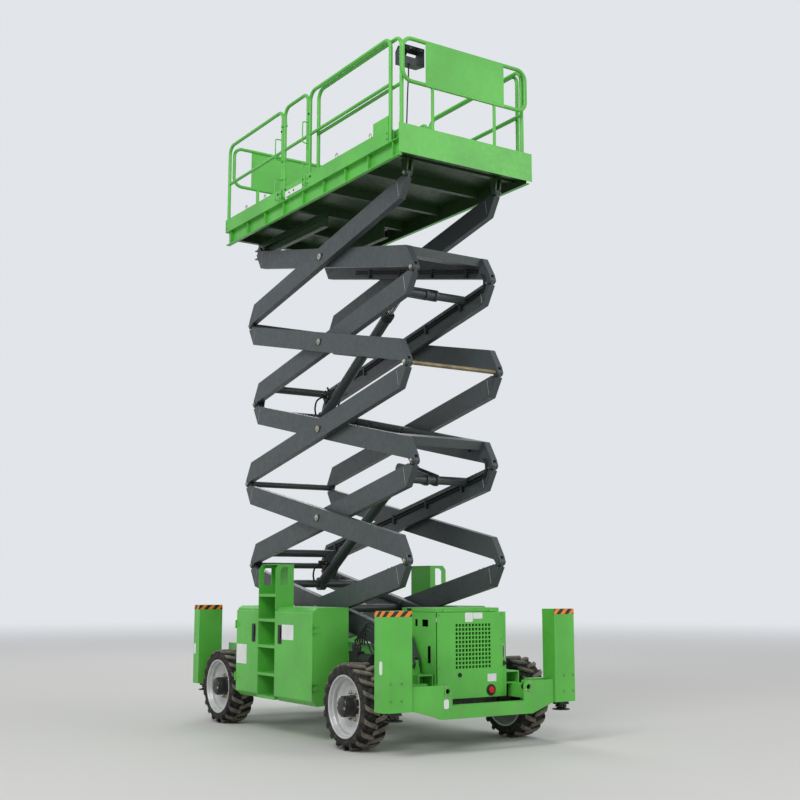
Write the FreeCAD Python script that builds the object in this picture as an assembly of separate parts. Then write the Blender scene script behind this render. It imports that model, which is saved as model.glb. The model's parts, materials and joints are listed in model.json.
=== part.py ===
import FreeCAD, Part
import math
import os

# Rough-terrain scissor lift, millimetres. +X points to the end with the engine box, +Z up.
# The origin lies on the ground under the middle of the machine.
V = FreeCAD.Vector

# Wheels and axles
WHEELBASE = 2840.0
TYRE_R = 413.0
TYRE_W = 300.0
TYRE_OUTER_Y = 1123.0
TREAD_DEPTH = 34.0
LUGS_PER_SIDE = 15
LUG_W_OUT = 46.0
LUG_W_IN = 36.0
LUG_SWEEP = 120.0
LUG_OVER = 14.0
LUG_ROOT = 30.0
RIM_R = 303.0
RIM_LIP = 14.0
HUB_R = 105.0
HUB_OUT = 30.0
KINGPIN_Y = 715.0
FORK_IN = 85.0
SEAT_PLAY = 0.3
AXLE_SQ = 130.0
AXLE_BALL_R = 125.0

# Scissor stack
STAGES = 5
ARM_L = 3640.0
REST_DEG = 15.8
MAX_DEG = 55.8
PIN_Z0 = 814.0
PIVOT_BACK = 90.0
FRONT_X = ARM_L / 2 - PIVOT_BACK
RISE = ARM_L * math.sin(math.radians(REST_DEG))
TOP_PIN_Z = PIN_Z0 + STAGES * RISE
ARM_D = 220.0
ARM_W = 74.0
PIN_OFF = 120.0
ARM_INNER_Y = 493.0
ARM_OUTER_Y = 575.0
TIP_R = 40.0
TIP_BACK = 70.0
TIP_DROP = 60.0
NOSE = 10.0
CHAMFER = 150.0
KNUCKLE_W = 34.0
EAR_GAP = 3.0
PIN_R = 20.0
PIN_PLAY = 0.5
HEAD_R = 30.0
HEAD_T = 6.0
CENTRE_PIN_R = 30.0
CROSS_R = 45.0
TUBE_BACK = 450.0
TUBE_IN = 20.0
PLATE_L = 330.0
PLATE_T = 90.0
ROLLER_R = 44.0
ROLLER_W = 44.0

# Lift cylinders
BASE_BACK = 820.0
EYE_BACK = 890.0
EYE_ALONG = ARM_L - EYE_BACK
EYE_RISE = 262.0
BARREL_R = 60.0
ROD_R = 35.0
EYE_R = 62.0
EYE_W = 80.0
LUG_T = 30.0
LUG_GAP = 6.0
ROD_OUT = 360.0
ROD_TAIL = 370.0
SEAM_TURN = (37.0, 23.0)

# Chassis
RAIL_Y0 = 440.0
RAIL_Y1 = 612.0
RAIL_Z0 = 600.0
RAIL_Z1 = 720.0
RAIL_T = 12.0
RAIL_OPEN = 150.0
RAIL_END_X = FRONT_X + 230.0
FRAME_PAST_PIN = 380.0
FRAME_PAST_TYRE = 277.0
RAIL_X1 = max(FRONT_X + FRAME_PAST_PIN, WHEELBASE / 2 + TYRE_R + FRAME_PAST_TYRE)
RAIL_X0 = -RAIL_X1
END_Y0 = 520.0
END_Z0 = 470.0
END_Z1 = 650.0
TRACK_Y0 = 622.0
TRACK_Y1 = 684.0
TRACK_T = 12.0
TRACK_GAP = 5.0
TRACK_END = 110.0
TRACK_PAST = 96.0
TRACK_X0 = FRONT_X - ARM_L - TRACK_END
TRACK_X1 = FRONT_X - ARM_L * math.cos(math.radians(MAX_DEG)) + TRACK_PAST

# Side boxes, doors and ladders
BOX_TYRE_REAR = 74.0
BOX_TYRE_FRONT = 198.0
BOX_X0 = -(WHEELBASE / 2 - TYRE_R - BOX_TYRE_REAR)
BOX_X1 = WHEELBASE / 2 - TYRE_R - BOX_TYRE_FRONT
BOX_Y0 = 696.0
BOX_Y1 = 1120.0
BOX_Z0 = 356.0
BOX_Z1 = 1338.0
WALL = 6.0
DOOR_T = 18.0
DOOR_GAP = 6.0
BOX_CHAMFER = 45.0
HINGE_Z = (560.0, 1130.0)
HINGE_R = 8.0
HINGE_PIN = 4.0
HINGE_H = 45.0
HINGE_OUT = 6.0
HINGE_GAP = 1.5
LADDER_X0 = -403.0
LADDER_X1 = -7.0
LADDER_Y0 = 900.0
LADDER_Z1 = 1790.0
STEP_Z = (396.0, 636.0, 930.0, 1207.0, 1472.0)
STEP_T = 30.0

# Engine box
ENG_BACK = 110.0
ENG_L = 620.0
ENG_X1 = RAIL_X1 - ENG_BACK
ENG_X0 = ENG_X1 - ENG_L
ENG_Y = 430.0
ENG_Z0 = 490.0
ENG_Z1 = 1305.0
ENG_STEP_L = 230.0
ENG_STEP_X = max(ENG_X0 + ENG_STEP_L, WHEELBASE / 2 + AXLE_BALL_R + 65.0)
ENG_STEP_Z = 600.0
ENG_FLOOR_T = 14.0
PANEL_T = 15.0
PANEL_Y0 = -415.0
PANEL_Y1 = 378.0
LID_T = 37.0
LID_BACK = 45.0
LID_OVER = 12.0
LID_Y0 = -404.0
LID_Y1 = 367.0
LID_HINGE_R = 10.0
LID_HINGE_Y = (240.0, 280.0, 320.0)
GRILLE_Y0 = -200.0
GRILLE_Z0 = 766.0
GRILLE_N = 11
GRILLE_PITCH = 40.0
GRILLE_HOLE = 27.0
SIDE_HOLES = ((95.0, 147.0, 320.0, 483.0), (135.0, 238.0, 69.0, 137.0), (317.0, 360.0, 69.0, 137.0))

# Outriggers and bumpers
OUT_Y0 = 860.0
OUT_Y1 = 1156.0
OUT_Z0 = 415.0
OUT_Z1 = 1330.0
OUT_GAP_FRONT = 207.0
OUT_GAP_REAR = 39.0
OUT_W_FRONT = 185.0
OUT_W_REAR = 188.0
TYRE_FRONT_X = WHEELBASE / 2 + TYRE_R
OUT_FRONT = (TYRE_FRONT_X + OUT_GAP_FRONT, TYRE_FRONT_X + OUT_GAP_FRONT + OUT_W_FRONT)
OUT_REAR = (-TYRE_FRONT_X - OUT_GAP_REAR - OUT_W_REAR, -TYRE_FRONT_X - OUT_GAP_REAR)
OUT_WALL = 8.0
LEG_SQ = 110.0
LEG_PLAY = 0.4
PAD_R = 85.0
PAD_Z = 330.0
BUMPER_REACH = 150.0
BUMPER_X = RAIL_X1 + BUMPER_REACH
BUMPER_CORNER_Y = 540.0
BUMPER_SWEEP = 55.0
BUMPER_WING_X = BUMPER_X - BUMPER_SWEEP
BUMPER_T = 12.0
BUMPER_Z0 = 330.0
BUMPER_Z1 = 640.0
WING_Z0 = 420.0
BAR_Z1 = 452.0
BAR_D = 90.0
POST_Y0 = 430.0
POST_CORNER = 35.0
GUSSET_T = 20.0
TIE_R = 24.0
TIE_Y = 485.0
TIE_Z = 585.0

# Platform
PLAT_BACK = 210.0
PLAT_AHEAD = 180.0
PLAT_X0 = -ARM_L / 2 - PLAT_BACK
PLAT_X1 = ARM_L / 2 + PLAT_AHEAD
PLAT_Y = 858.0
FLOOR_UP = 250.5
FLOOR_Z = TOP_PIN_Z + FLOOR_UP
FLOOR_T = 8.0
FRAME_D = 178.0
FRAME_Z0 = FLOOR_Z - FRAME_D
TOE_H = 152.0
TOE_Z1 = FLOOR_Z + TOE_H
TALL_TOE_H = 281.0
TALL_TOE_L = 290.0
TOE_T = 6.0
WEB_Y = 806.0
RAIL_R = 21.0
TOP_H = 1130.0
TOP_Z = FLOOR_Z + TOP_H
MID_H = 625.0
MID_Z = FLOOR_Z + MID_H
RAIL_Y = 830.0
EXT_RAIL_Y = 782.0
EXT_DROP = 15.0
EXT_TOP_Z = TOP_Z - EXT_DROP
BEND_R = 110.0
SIDE_SHORT = 200.0
SIDE_X1 = PLAT_X1 - SIDE_SHORT
GATE_X0 = -500.0
GATE_X1 = 70.0
POST_GAP = 45.0
GATE_IN = 5.0
GATE_LOW = 60.0
EXT_L = 1820.0
STRIP_Y = 600.0
EXT_X0 = PLAT_X1 - EXT_L
PANEL_HALF = (-525.0, 490.0)
POST_Y = (-430.0, 370.0)

# Control box
CTRL_X = PLAT_X1 - 260.0
CTRL_Z = TOP_Z - 250.0
CTRL_Y = (-735.0, -480.0)


def box(x0, x1, y0, y1, z0, z1):
    return Part.makeBox(x1 - x0, y1 - y0, z1 - z0, V(x0, y0, z0))


def rod(p, q, r):
    a = V(*p)
    d = V(*q) - a
    return Part.makeCylinder(r, d.Length, a, d)


def fuse(shapes):
    out = shapes[0]
    if len(shapes) > 1:
        out = out.multiFuse(shapes[1:])
    return out.removeSplitter()


def cut(shape, tools):
    return shape.cut(tools)


def mirror_y(shape):
    return shape.mirror(V(0, 0, 0), V(0, 1, 0))


def mirror_x(shape):
    return shape.mirror(V(0, 0, 0), V(1, 0, 0))


def side_prism(points, y0, y1):
    """Outline in X and Z, thick along Y."""
    pts = [V(x, y0, z) for x, z in points]
    face = Part.Face(Part.makePolygon(pts + [pts[0]]))
    return face.extrude(V(0, y1 - y0, 0))


def plan_prism(points, z0, z1):
    """Outline in X and Y, thick along Z."""
    pts = [V(x, y, z0) for x, y in points]
    face = Part.Face(Part.makePolygon(pts + [pts[0]]))
    return face.extrude(V(0, 0, z1 - z0))


def front_prism(points, x0, x1):
    """Outline in Y and Z, thick along X."""
    pts = [V(x0, y, z) for y, z in points]
    face = Part.Face(Part.makePolygon(pts + [pts[0]]))
    return face.extrude(V(x1 - x0, 0, 0))


def bent_tube(points, r, bend, closed=False):
    """Round tube along straight runs that are joined by tangent arcs."""
    pts = [V(*p) for p in points]
    n = len(pts)
    edges = []
    last = None
    first = None
    for i in range(n):
        if not closed and i in (0, n - 1):
            a = b = pts[i]
            arc = None
        else:
            u = (pts[i - 1] - pts[i]).normalize()
            w = (pts[(i + 1) % n] - pts[i]).normalize()
            half = u.getAngle(w) / 2
            t = bend / math.tan(half)
            a = pts[i] + u * t
            b = pts[i] + w * t
            mid = pts[i] + (u + w).normalize() * (bend / math.sin(half) - bend)
            arc = Part.Arc(a, mid, b).toShape()
        if last is not None and (a - last).Length > 0.01:
            edges.append(Part.LineSegment(last, a).toShape())
        if arc is not None:
            edges.append(arc)
        if first is None:
            first = a
        last = b
    if closed:
        edges.append(Part.LineSegment(last, first).toShape())
    path = Part.Wire(edges)
    e = edges[0]
    start = e.valueAt(e.FirstParameter)
    ring = Part.Wire(Part.makeCircle(r, start, e.tangentAt(e.FirstParameter)))
    return path.makePipeShell([ring], True, True)


# Scissor arms. Beam coordinates: b along the beam to its high end, n square to it.
REST = math.radians(REST_DEG)
BEAM_LEAN = math.asin(2 * PIN_OFF / ARM_L)
BEAM_HALF = ARM_L * math.cos(BEAM_LEAN) / 2
CENTRE_X = FRONT_X - ARM_L * math.cos(REST) / 2


def stage_z(k):
    return PIN_Z0 + RISE * (k + 0.5)


def to_world(k, to_front, b, n):
    g = REST - BEAM_LEAN
    x = b * math.cos(g) - n * math.sin(g)
    z = b * math.sin(g) + n * math.cos(g)
    return (CENTRE_X + (x if to_front else -x), stage_z(k) + z)


def pin_line(k, to_front, along, rise):
    """A point along the line through the end pins, from the low one."""
    x = (along - ARM_L / 2) * math.cos(REST) - rise * math.sin(REST)
    z = (along - ARM_L / 2) * math.sin(REST) + rise * math.cos(REST)
    return (CENTRE_X + (x if to_front else -x), stage_z(k) + z)


def arm_plate(k, to_front, outline, y0, y1):
    return side_prism([to_world(k, to_front, b, n) for b, n in outline], y0, y1)


def pin_at(k, to_front, b, n, r, y0, y1):
    x, z = to_world(k, to_front, b, n)
    return rod((x, y0, z), (x, y1, z), r)


def tip_outline(s):
    """Web between the beam's end and the eye round its pin; s is 1 at the high end."""
    pts = [(-TIP_BACK, -NOSE), (-TIP_DROP, -2 * PIN_R - TIP_R), (NOSE, -TIP_DROP), (39.0, -9.0), (-12.0, 38.0)]
    return [(s * (BEAM_HALF + b), s * (PIN_OFF + n)) for b, n in pts]


def arm(k, to_front, y, centre_bore):
    h = ARM_D / 2
    hw = ARM_W / 2
    near = (BEAM_HALF - TIP_BACK, h)
    nose = (BEAM_HALF + NOSE, PIN_OFF - TIP_DROP)
    back = (BEAM_HALF - CHAMFER, -h)
    outline = [near, nose, back]
    outline += [(-b, -n) for b, n in outline]
    parts = [arm_plate(k, to_front, outline, y - hw, y + hw)]
    kw = KNUCKLE_W / 2
    parts.append(arm_plate(k, to_front, tip_outline(1), y - kw, y + kw))
    parts.append(pin_at(k, to_front, BEAM_HALF, PIN_OFF, TIP_R, y - kw, y + kw))
    for s in (-1, 1):
        a, b = sorted((y + s * (kw + EAR_GAP), y + s * hw))
        parts.append(arm_plate(k, to_front, tip_outline(-1), a, b))
        parts.append(pin_at(k, to_front, -BEAM_HALF, -PIN_OFF, TIP_R, a, b))
    body = fuse(parts)
    bores = [pin_at(k, to_front, -BEAM_HALF, -PIN_OFF, PIN_R + PIN_PLAY, y - hw - 1, y + hw + 1)]
    if centre_bore:
        bores.append(pin_at(k, to_front, 0, 0, CENTRE_PIN_R + PIN_PLAY, y - hw - 1, y + hw + 1))
    return cut(body, bores)


def end_pin(k, to_front, y, high=True):
    """Pin with a flat head outside each ear."""
    s = 1 if high else -1
    hw = ARM_W / 2
    b = s * BEAM_HALF
    n = s * PIN_OFF
    parts = [pin_at(k, to_front, b, n, PIN_R, y - hw - HEAD_T, y + hw + HEAD_T)]
    for side in (-1, 1):
        a, c = sorted((y + side * (hw + 1), y + side * (hw + HEAD_T)))
        parts.append(pin_at(k, to_front, b, n, HEAD_R, a, c))
    return parts


def cross_tube(k, to_front, b, n, y, r):
    return pin_at(k, to_front, b, n, r, -y, y)


def inner_frame(k):
    """Inner arms lean back on even stages, where their low ends are at the front."""
    to_front = k % 2 == 1
    y = ARM_INNER_Y
    parts = []
    for s in (-1, 1):
        parts.append(arm(k, to_front, s * y, False))
        outside = ARM_OUTER_Y + ARM_W / 2 + HEAD_T
        a, b = sorted((s * y, s * outside))
        parts.append(pin_at(k, to_front, 0, 0, CENTRE_PIN_R, a, b))
        a, b = sorted((s * (ARM_OUTER_Y + ARM_W / 2 + 1), s * outside))
        parts.append(pin_at(k, to_front, 0, 0, CENTRE_PIN_R + 12, a, b))
        if k < STAGES - 1:
            parts += end_pin(k, to_front, s * y)
    if k == 0:
        parts.append(cross_tube(k, to_front, BEAM_HALF, PIN_OFF, y - ARM_W / 2 - 1, TIP_R - 4))
        parts.append(cross_tube(k, to_front, 0, 0, y - ARM_W / 2 + 1, CROSS_R))
    if k in (0, 2):
        parts.append(arm_tube(k, to_front, ARM_L - BASE_BACK, 0))
    if k == STAGES - 1:
        parts += top_rollers(k, to_front)
    if k in (1, 3):
        parts.append(arm_tube(k, to_front, TUBE_BACK, TUBE_IN))
        parts.append(arm_tube(k, to_front, ARM_L - TUBE_BACK, -TUBE_IN))
        parts += eye_lugs(k, to_front)
    if k in (2, 4):
        edge = y - ARM_W / 2 + 1
        b0 = -BEAM_HALF + CHAMFER + 20
        top = ARM_D / 2
        outline = [(b0, top - PLATE_T), (b0, top), (b0 + PLATE_L, top), (b0 + PLATE_L, top - PLATE_T)]
        parts.append(arm_plate(k, to_front, outline, -edge, edge))
    return fuse(parts)


def arm_tube(k, to_front, along, rise):
    """Round tube between the inner arms, placed along the line through the end pins."""
    y = ARM_INNER_Y - ARM_W / 2 + 1
    x, z = pin_line(k, to_front, along, rise)
    return rod((x, -y, z), (x, y, z), CROSS_R)


def eye_lugs(k, to_front):
    """Two plates that reach back from the high tube to the rod's eye."""
    x, z = pin_line(k, to_front, ARM_L - TUBE_BACK, -TUBE_IN)
    ex, ez = pin_line(k, to_front, EYE_ALONG, EYE_RISE)
    way = V(ex - x, 0, ez - z).normalize()
    n = V(-way.z, 0, way.x) * EYE_R
    outline = [(x + n.x, z + n.z), (ex + n.x, ez + n.z), (ex - n.x, ez - n.z), (x - n.x, z - n.z)]
    parts = []
    for s in (-1, 1):
        a, b = sorted((s * (EYE_W / 2 + LUG_GAP), s * (EYE_W / 2 + LUG_GAP + LUG_T)))
        parts.append(side_prism(outline, a, b))
        parts.append(rod((ex, a, ez), (ex, b, ez), EYE_R))
        parts.append(rod((x, a, z), (x, b, z), EYE_R))
    return parts


def outer_frame(k):
    to_front = k % 2 == 0
    y = ARM_OUTER_Y
    parts = []
    for s in (-1, 1):
        parts.append(arm(k, to_front, s * y, True))
        parts += end_pin(k, to_front, s * y)
    if k in (1, 3):
        parts.append(cross_tube(k, to_front, BEAM_HALF, PIN_OFF, y - ARM_W / 2 - 1, TIP_R - 4))
    if k == 2:
        parts.append(cross_tube(k, to_front, BEAM_HALF, PIN_OFF, y - ARM_W / 2 - 1, PIN_R))
    if k == 0:
        x, z = to_world(k, to_front, -BEAM_HALF, -PIN_OFF)
        for s in (-1, 1):
            a, b = sorted((s * (y - ARM_W / 2 - HEAD_T), s * (TRACK_Y0 + 2 + ROLLER_W)))
            parts.append(rod((x, a, z), (x, b, z), PIN_R))
            a, b = sorted((s * (TRACK_Y0 + 2), s * (TRACK_Y0 + 2 + ROLLER_W)))
            parts.append(rod((x, a, z), (x, b, z), ROLLER_R))
    return fuse(parts)


def top_rollers(k, to_front):
    """Rollers on the high ends of the top inner arms, inside the arms."""
    x, z = to_world(k, to_front, BEAM_HALF, PIN_OFF)
    edge = ARM_INNER_Y - ARM_W / 2
    parts = []
    for s in (-1, 1):
        a, b = sorted((s * ARM_INNER_Y, s * (edge - 10 - ROLLER_W)))
        parts.append(rod((x, a, z), (x, b, z), PIN_R))
        a, b = sorted((s * (edge - 10), s * (edge - 10 - ROLLER_W)))
        parts.append(rod((x, a, z), (x, b, z), ROLLER_R))
    return parts


def lift_cylinder(k):
    """Barrel and rod between inner stage k and the lugs of stage k + 1."""
    bx, bz = pin_line(k, k % 2 == 1, ARM_L - BASE_BACK, 0)
    ex, ez = pin_line(k + 1, k % 2 == 0, EYE_ALONG, EYE_RISE)
    base = V(bx, 0, bz)
    eye = V(ex, 0, ez)
    way = (eye - base).normalize()
    w = EYE_W / 2
    ring = rod((bx, -w, bz), (bx, w, bz), CROSS_R + 30)
    start = base + way * (CROSS_R + 15)
    stop = eye - way * ROD_OUT
    barrel = fuse([ring, Part.makeCylinder(BARREL_R, (stop - start).Length, start, way)])
    bore = Part.makeCylinder(ROD_R + 0.5, (stop - start).Length - 60, start + way * 60.5, way)
    hole = rod((bx, -w - 1, bz), (bx, w + 1, bz), CROSS_R + 0.5)
    barrel = cut(barrel, [bore, hole])
    tip = start + way * ROD_TAIL
    length = (eye - tip).Length
    ring = Part.makeCylinder(EYE_R - 6, EYE_W, V(0, -w, 0), V(0, 1, 0))
    ring.rotate(V(0, 0, 0), V(0, 1, 0), SEAM_TURN[0])
    ring.translate(eye)
    shaft = Part.makeCylinder(ROD_R, length, tip, way)
    shaft.rotate(tip, way, SEAM_TURN[1])
    return barrel, fuse([ring, shaft])


# Chassis pieces
def chassis_frame():
    rails = []
    for s in (-1, 1):
        a, b = sorted((s * RAIL_Y0, s * RAIL_Y1))
        rail = box(-RAIL_END_X, RAIL_END_X, a, b, RAIL_Z0, RAIL_Z1)
        t = RAIL_T
        for x0 in (-RAIL_END_X - 1, RAIL_END_X - RAIL_OPEN):
            rail = rail.cut(box(x0, x0 + RAIL_OPEN + 1, a + t, b - t, RAIL_Z0 + t, RAIL_Z1 - t))
        rails.append(rail)
        c0 = PIN_Z0 - ROLLER_R - TRACK_GAP
        c1 = PIN_Z0 + ROLLER_R + TRACK_GAP
        a, b = sorted((s * RAIL_Y1, s * (TRACK_Y1 + TRACK_T)))
        low = box(TRACK_X0, TRACK_X1, a, b, c0 - TRACK_T, c0)
        a, b = sorted((s * TRACK_Y0, s * (TRACK_Y1 + TRACK_T)))
        high = box(TRACK_X0, TRACK_X1, a, b, c1, c1 + TRACK_T)
        a, b = sorted((s * TRACK_Y1, s * (TRACK_Y1 + TRACK_T)))
        web = box(TRACK_X0, TRACK_X1, a, b, RAIL_Z0, c1 + TRACK_T)
        rails += [low, high, web]
        for x0, x1 in ((BOX_X0 + 60, BOX_X0 + 160), (BOX_X1 - 160, BOX_X1 - 60)):
            a, b = sorted((s * (RAIL_Y1 - 1), s * BOX_Y0))
            rails.append(box(x0, x1, a, b, RAIL_Z0 + 20, RAIL_Z1 - 20))
        kw = KNUCKLE_W / 2
        a, b = sorted((s * (ARM_INNER_Y - kw), s * (ARM_INNER_Y + kw)))
        foot = [(FRONT_X - 70, RAIL_Z1 - 5), (FRONT_X + 70, RAIL_Z1 - 5), (FRONT_X + 34, PIN_Z0 + 20),
                (FRONT_X - 34, PIN_Z0 + 20)]
        rails.append(side_prism(foot, a, b))
        rails.append(rod((FRONT_X, a, PIN_Z0), (FRONT_X, b, PIN_Z0), TIP_R))
        a, b = s * (ARM_INNER_Y - ARM_W / 2 - HEAD_T), s * (ARM_INNER_Y + ARM_W / 2 + HEAD_T)
        rails.append(rod((FRONT_X, min(a, b), PIN_Z0), (FRONT_X, max(a, b), PIN_Z0), PIN_R))
    axle_x = WHEELBASE / 2
    for xc in (-RAIL_END_X + 60, -axle_x, BOX_X0 / 2, BOX_X1 / 2, axle_x - 240):
        rails.append(box(xc - 60, xc + 60, -RAIL_Y0 - 1, RAIL_Y0 + 1, RAIL_Z0 + 10, RAIL_Z1 - 10))
    floor_x1 = ENG_X1 - 60
    rails.append(box(ENG_STEP_X, floor_x1, -RAIL_Y0 - 1, RAIL_Y0 + 1, ENG_Z0 - ENG_FLOOR_T, ENG_Z0))
    for s in (-1, 1):
        a, b = sorted((s * RAIL_Y0, s * (RAIL_Y0 + 20)))
        rails.append(box(ENG_STEP_X, floor_x1, a, b, ENG_Z0 - ENG_FLOOR_T, RAIL_Z0 + 1))
        for xc in (axle_x, -axle_x):
            a, b = sorted((s * (RAIL_Y0 + 20), s * (RAIL_Y1 - 20)))
            rails.append(box(xc - 90, xc + 90, a, b, TYRE_R + AXLE_SQ / 2, RAIL_Z0 + 1))
        inner = RAIL_END_X - 60
        for x0, x1, x2 in ((OUT_FRONT[0], RAIL_X1, inner), (RAIL_X0, OUT_REAR[1] - 40, -inner)):
            a, b = sorted((s * (RAIL_Y1 - 1), s * OUT_Y0))
            rails.append(box(x0, x1, a, b, END_Z0, END_Z1))
            a, b = sorted((s * END_Y0, s * RAIL_Y1))
            rails.append(box(min(x0, x2), max(x1, x2), a, b, END_Z0, RAIL_Z0 + 1))
    return fuse(rails)


def bumper_half(s):
    """Folded wing and corner post of an end plate, with the tie-down hole and a gusset behind."""
    corner = BUMPER_CORNER_Y
    wing = front_prism([(s * corner, BUMPER_Z0), (s * OUT_Y0, WING_Z0),
                        (s * OUT_Y0, BUMPER_Z1), (s * corner, BUMPER_Z1)],
                       BUMPER_WING_X - 60, BUMPER_X)
    front = [(BUMPER_X, s * corner), (BUMPER_WING_X, s * OUT_Y0), (BUMPER_WING_X - BUMPER_T, s * OUT_Y0),
             (BUMPER_X - BUMPER_T, s * corner)]
    skin = plan_prism(front, BUMPER_Z0 - 20, BUMPER_Z1 + 20).common(wing)
    post = front_prism([(s * corner, BUMPER_Z0), (s * corner, BUMPER_Z1),
                        (s * (POST_Y0 + POST_CORNER), BUMPER_Z1),
                        (s * POST_Y0, BUMPER_Z1 - POST_CORNER), (s * POST_Y0, BUMPER_Z0)],
                       BUMPER_X - BUMPER_T, BUMPER_X)
    hole = rod((BUMPER_X - BUMPER_T - 1, s * TIE_Y, TIE_Z), (BUMPER_X + 1, s * TIE_Y, TIE_Z), TIE_R)
    y0, y1 = sorted((s * corner, s * (corner - GUSSET_T)))
    gusset = side_prism([(RAIL_X1, END_Z0), (BUMPER_X, BUMPER_Z0),
                         (BUMPER_X, BUMPER_Z1), (RAIL_X1, BUMPER_Z1)], y0, y1)
    return [skin, post.cut(hole), gusset]


def bumper():
    parts = bumper_half(-1) + bumper_half(1)
    parts.append(box(BUMPER_X - BAR_D, BUMPER_X, -BUMPER_CORNER_Y, BUMPER_CORNER_Y, BUMPER_Z0, BAR_Z1))
    return fuse(parts)


def outrigger_housing(x0, x1, s):
    """Folded cover, open at its foot, round the square leg."""
    cx = 40.0
    outer = [(x0, s * OUT_Y0), (x1, s * OUT_Y0), (x1, s * (OUT_Y1 - cx)), (x1 - cx, s * OUT_Y1), (x0, s * OUT_Y1)]
    if x0 < 0:
        outer = [(x0 + x1 - x, y) for x, y in outer]
    shell = plan_prism(outer, OUT_Z0, OUT_Z1)
    t = OUT_WALL
    y0, y1 = sorted((s * (OUT_Y0 + t), s * (OUT_Y1 - t)))
    hollow = box(x0 + t, x1 - t, y0, y1, OUT_Z0 - 1, OUT_Z1 - t)
    inner = plan_prism([(x + (t if x < (x0 + x1) / 2 else -t), y - s * t * (1 if abs(y) > 1000 else -1))
                        for x, y in outer], OUT_Z0 - 1, OUT_Z1 - t)
    cover = shell.cut(hollow.common(inner))
    xc = (x0 + x1) / 2
    yc = s * (OUT_Y0 + OUT_Y1) / 2
    h = LEG_SQ / 2 + LEG_PLAY
    z0 = OUT_Z0 + 25
    z1 = OUT_Z1 - t
    tube = box(xc - h - t, xc + h + t, yc - h - t, yc + h + t, z0, z1)
    web = box(x0 + t - 1, x1 - t + 1, yc - t / 2, yc + t / 2, z0, z1)
    leg_way = box(xc - h, xc + h, yc - h, yc + h, z0 - 1, z1)
    return fuse([cover, tube, web]).cut(leg_way)


def leg(x0, x1, s):
    xc = (x0 + x1) / 2
    yc = s * (OUT_Y0 + OUT_Y1) / 2
    h = LEG_SQ / 2
    post = box(xc - h, xc + h, yc - h, yc + h, PAD_Z + 60, OUT_Z1 - 60)
    foot = fuse([
        rod((xc, yc, PAD_Z + 22), (xc, yc, PAD_Z + 70), 32),
        Part.makeCone(PAD_R, 40, 24, V(xc, yc, PAD_Z)),
    ])
    return fuse([post, foot])


def side_box(s):
    """Open-fronted box round the ladder, with two compartments; the doors are its outer skin."""
    c = BOX_CHAMFER
    y_in = BOX_Y1 - DOOR_T
    outline = [(BOX_Y0, BOX_Z0 + 20), (y_in - c, BOX_Z0), (y_in, BOX_Z0 + c),
               (y_in, BOX_Z1 - c + 18), (y_in - c, BOX_Z1),
               (BOX_Y0, BOX_Z1)]
    body = front_prism([(s * y, z) for y, z in outline], BOX_X0, BOX_X1)
    t = WALL
    hollows = []
    for x0, x1 in ((BOX_X0 + t, LADDER_X0 - t), (LADDER_X1 + t, BOX_X1 - t)):
        y0, y1 = sorted((s * (BOX_Y0 + t), s * (BOX_Y1 + 5)))
        hollows.append(box(x0, x1, y0, y1, BOX_Z0 + c + t, BOX_Z1 - c))
    y0, y1 = sorted((s * LADDER_Y0, s * (BOX_Y1 + 5)))
    hollows.append(box(LADDER_X0, LADDER_X1, y0, y1, BOX_Z0 - 5, BOX_Z1 + 5))
    body = cut(body, hollows)
    fixed = []
    for x, way in ((BOX_X1, 1), (BOX_X0, -1)):
        for z in HINGE_Z:
            fixed += hinge_leaf(x, way, s, z)
    return fuse([body] + fixed)


def hinge_leaf(x, way, s, z):
    """Pin with its two end knuckles on the box's end wall."""
    xa = x + way * HINGE_OUT
    ya = s * (BOX_Y1 + HINGE_R)
    parts = [rod((xa, ya, z - HINGE_H), (xa, ya, z + HINGE_H), HINGE_PIN)]
    for z0, z1 in ((z - HINGE_H, z - HINGE_H / 3), (z + HINGE_H / 3, z + HINGE_H)):
        parts.append(rod((xa, ya, z0), (xa, ya, z1), HINGE_R))
        a, b = sorted((x, xa + way * 2))
        c, d = sorted((s * (BOX_Y1 - 60), ya))
        parts.append(box(a, b, c, d, z0, z1))
    return parts


def door_knuckles(x, way, s):
    xa = x + way * HINGE_OUT
    ya = s * (BOX_Y1 + HINGE_R)
    parts = []
    for z in HINGE_Z:
        z0 = z - HINGE_H / 3 + HINGE_GAP
        z1 = z + HINGE_H / 3 - HINGE_GAP
        barrel = rod((xa, ya, z0), (xa, ya, z1), HINGE_R)
        a, b = sorted((xa, x - way * 70))
        c, d = sorted((s * (BOX_Y1 - 1), s * (BOX_Y1 + 4)))
        leaf = box(a, b, c, d, z0, z1)
        bore = rod((xa, ya, z0 - 1), (xa, ya, z1 + 1), HINGE_PIN + 0.3)
        parts.append(barrel.fuse(leaf).cut(bore))
    return parts


def door(x0, x1, s):
    c = BOX_CHAMFER
    y0, y1 = BOX_Y1 - DOOR_T + 1, BOX_Y1
    g = DOOR_GAP / 2
    outline = [(y0, BOX_Z0 + c), (y1 - 6, BOX_Z0 + c), (y1, BOX_Z0 + c + 12),
               (y1, BOX_Z1 - c - 12), (y1 - 6, BOX_Z1 - c),
               (y0, BOX_Z1 - c)]
    panel = front_prism([(s * y, z) for y, z in outline], x0 + g, x1 - g)
    way = 1 if x1 == BOX_X1 else -1
    return fuse([panel] + door_knuckles(x1 if way > 0 else x0, way, s))


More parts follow.
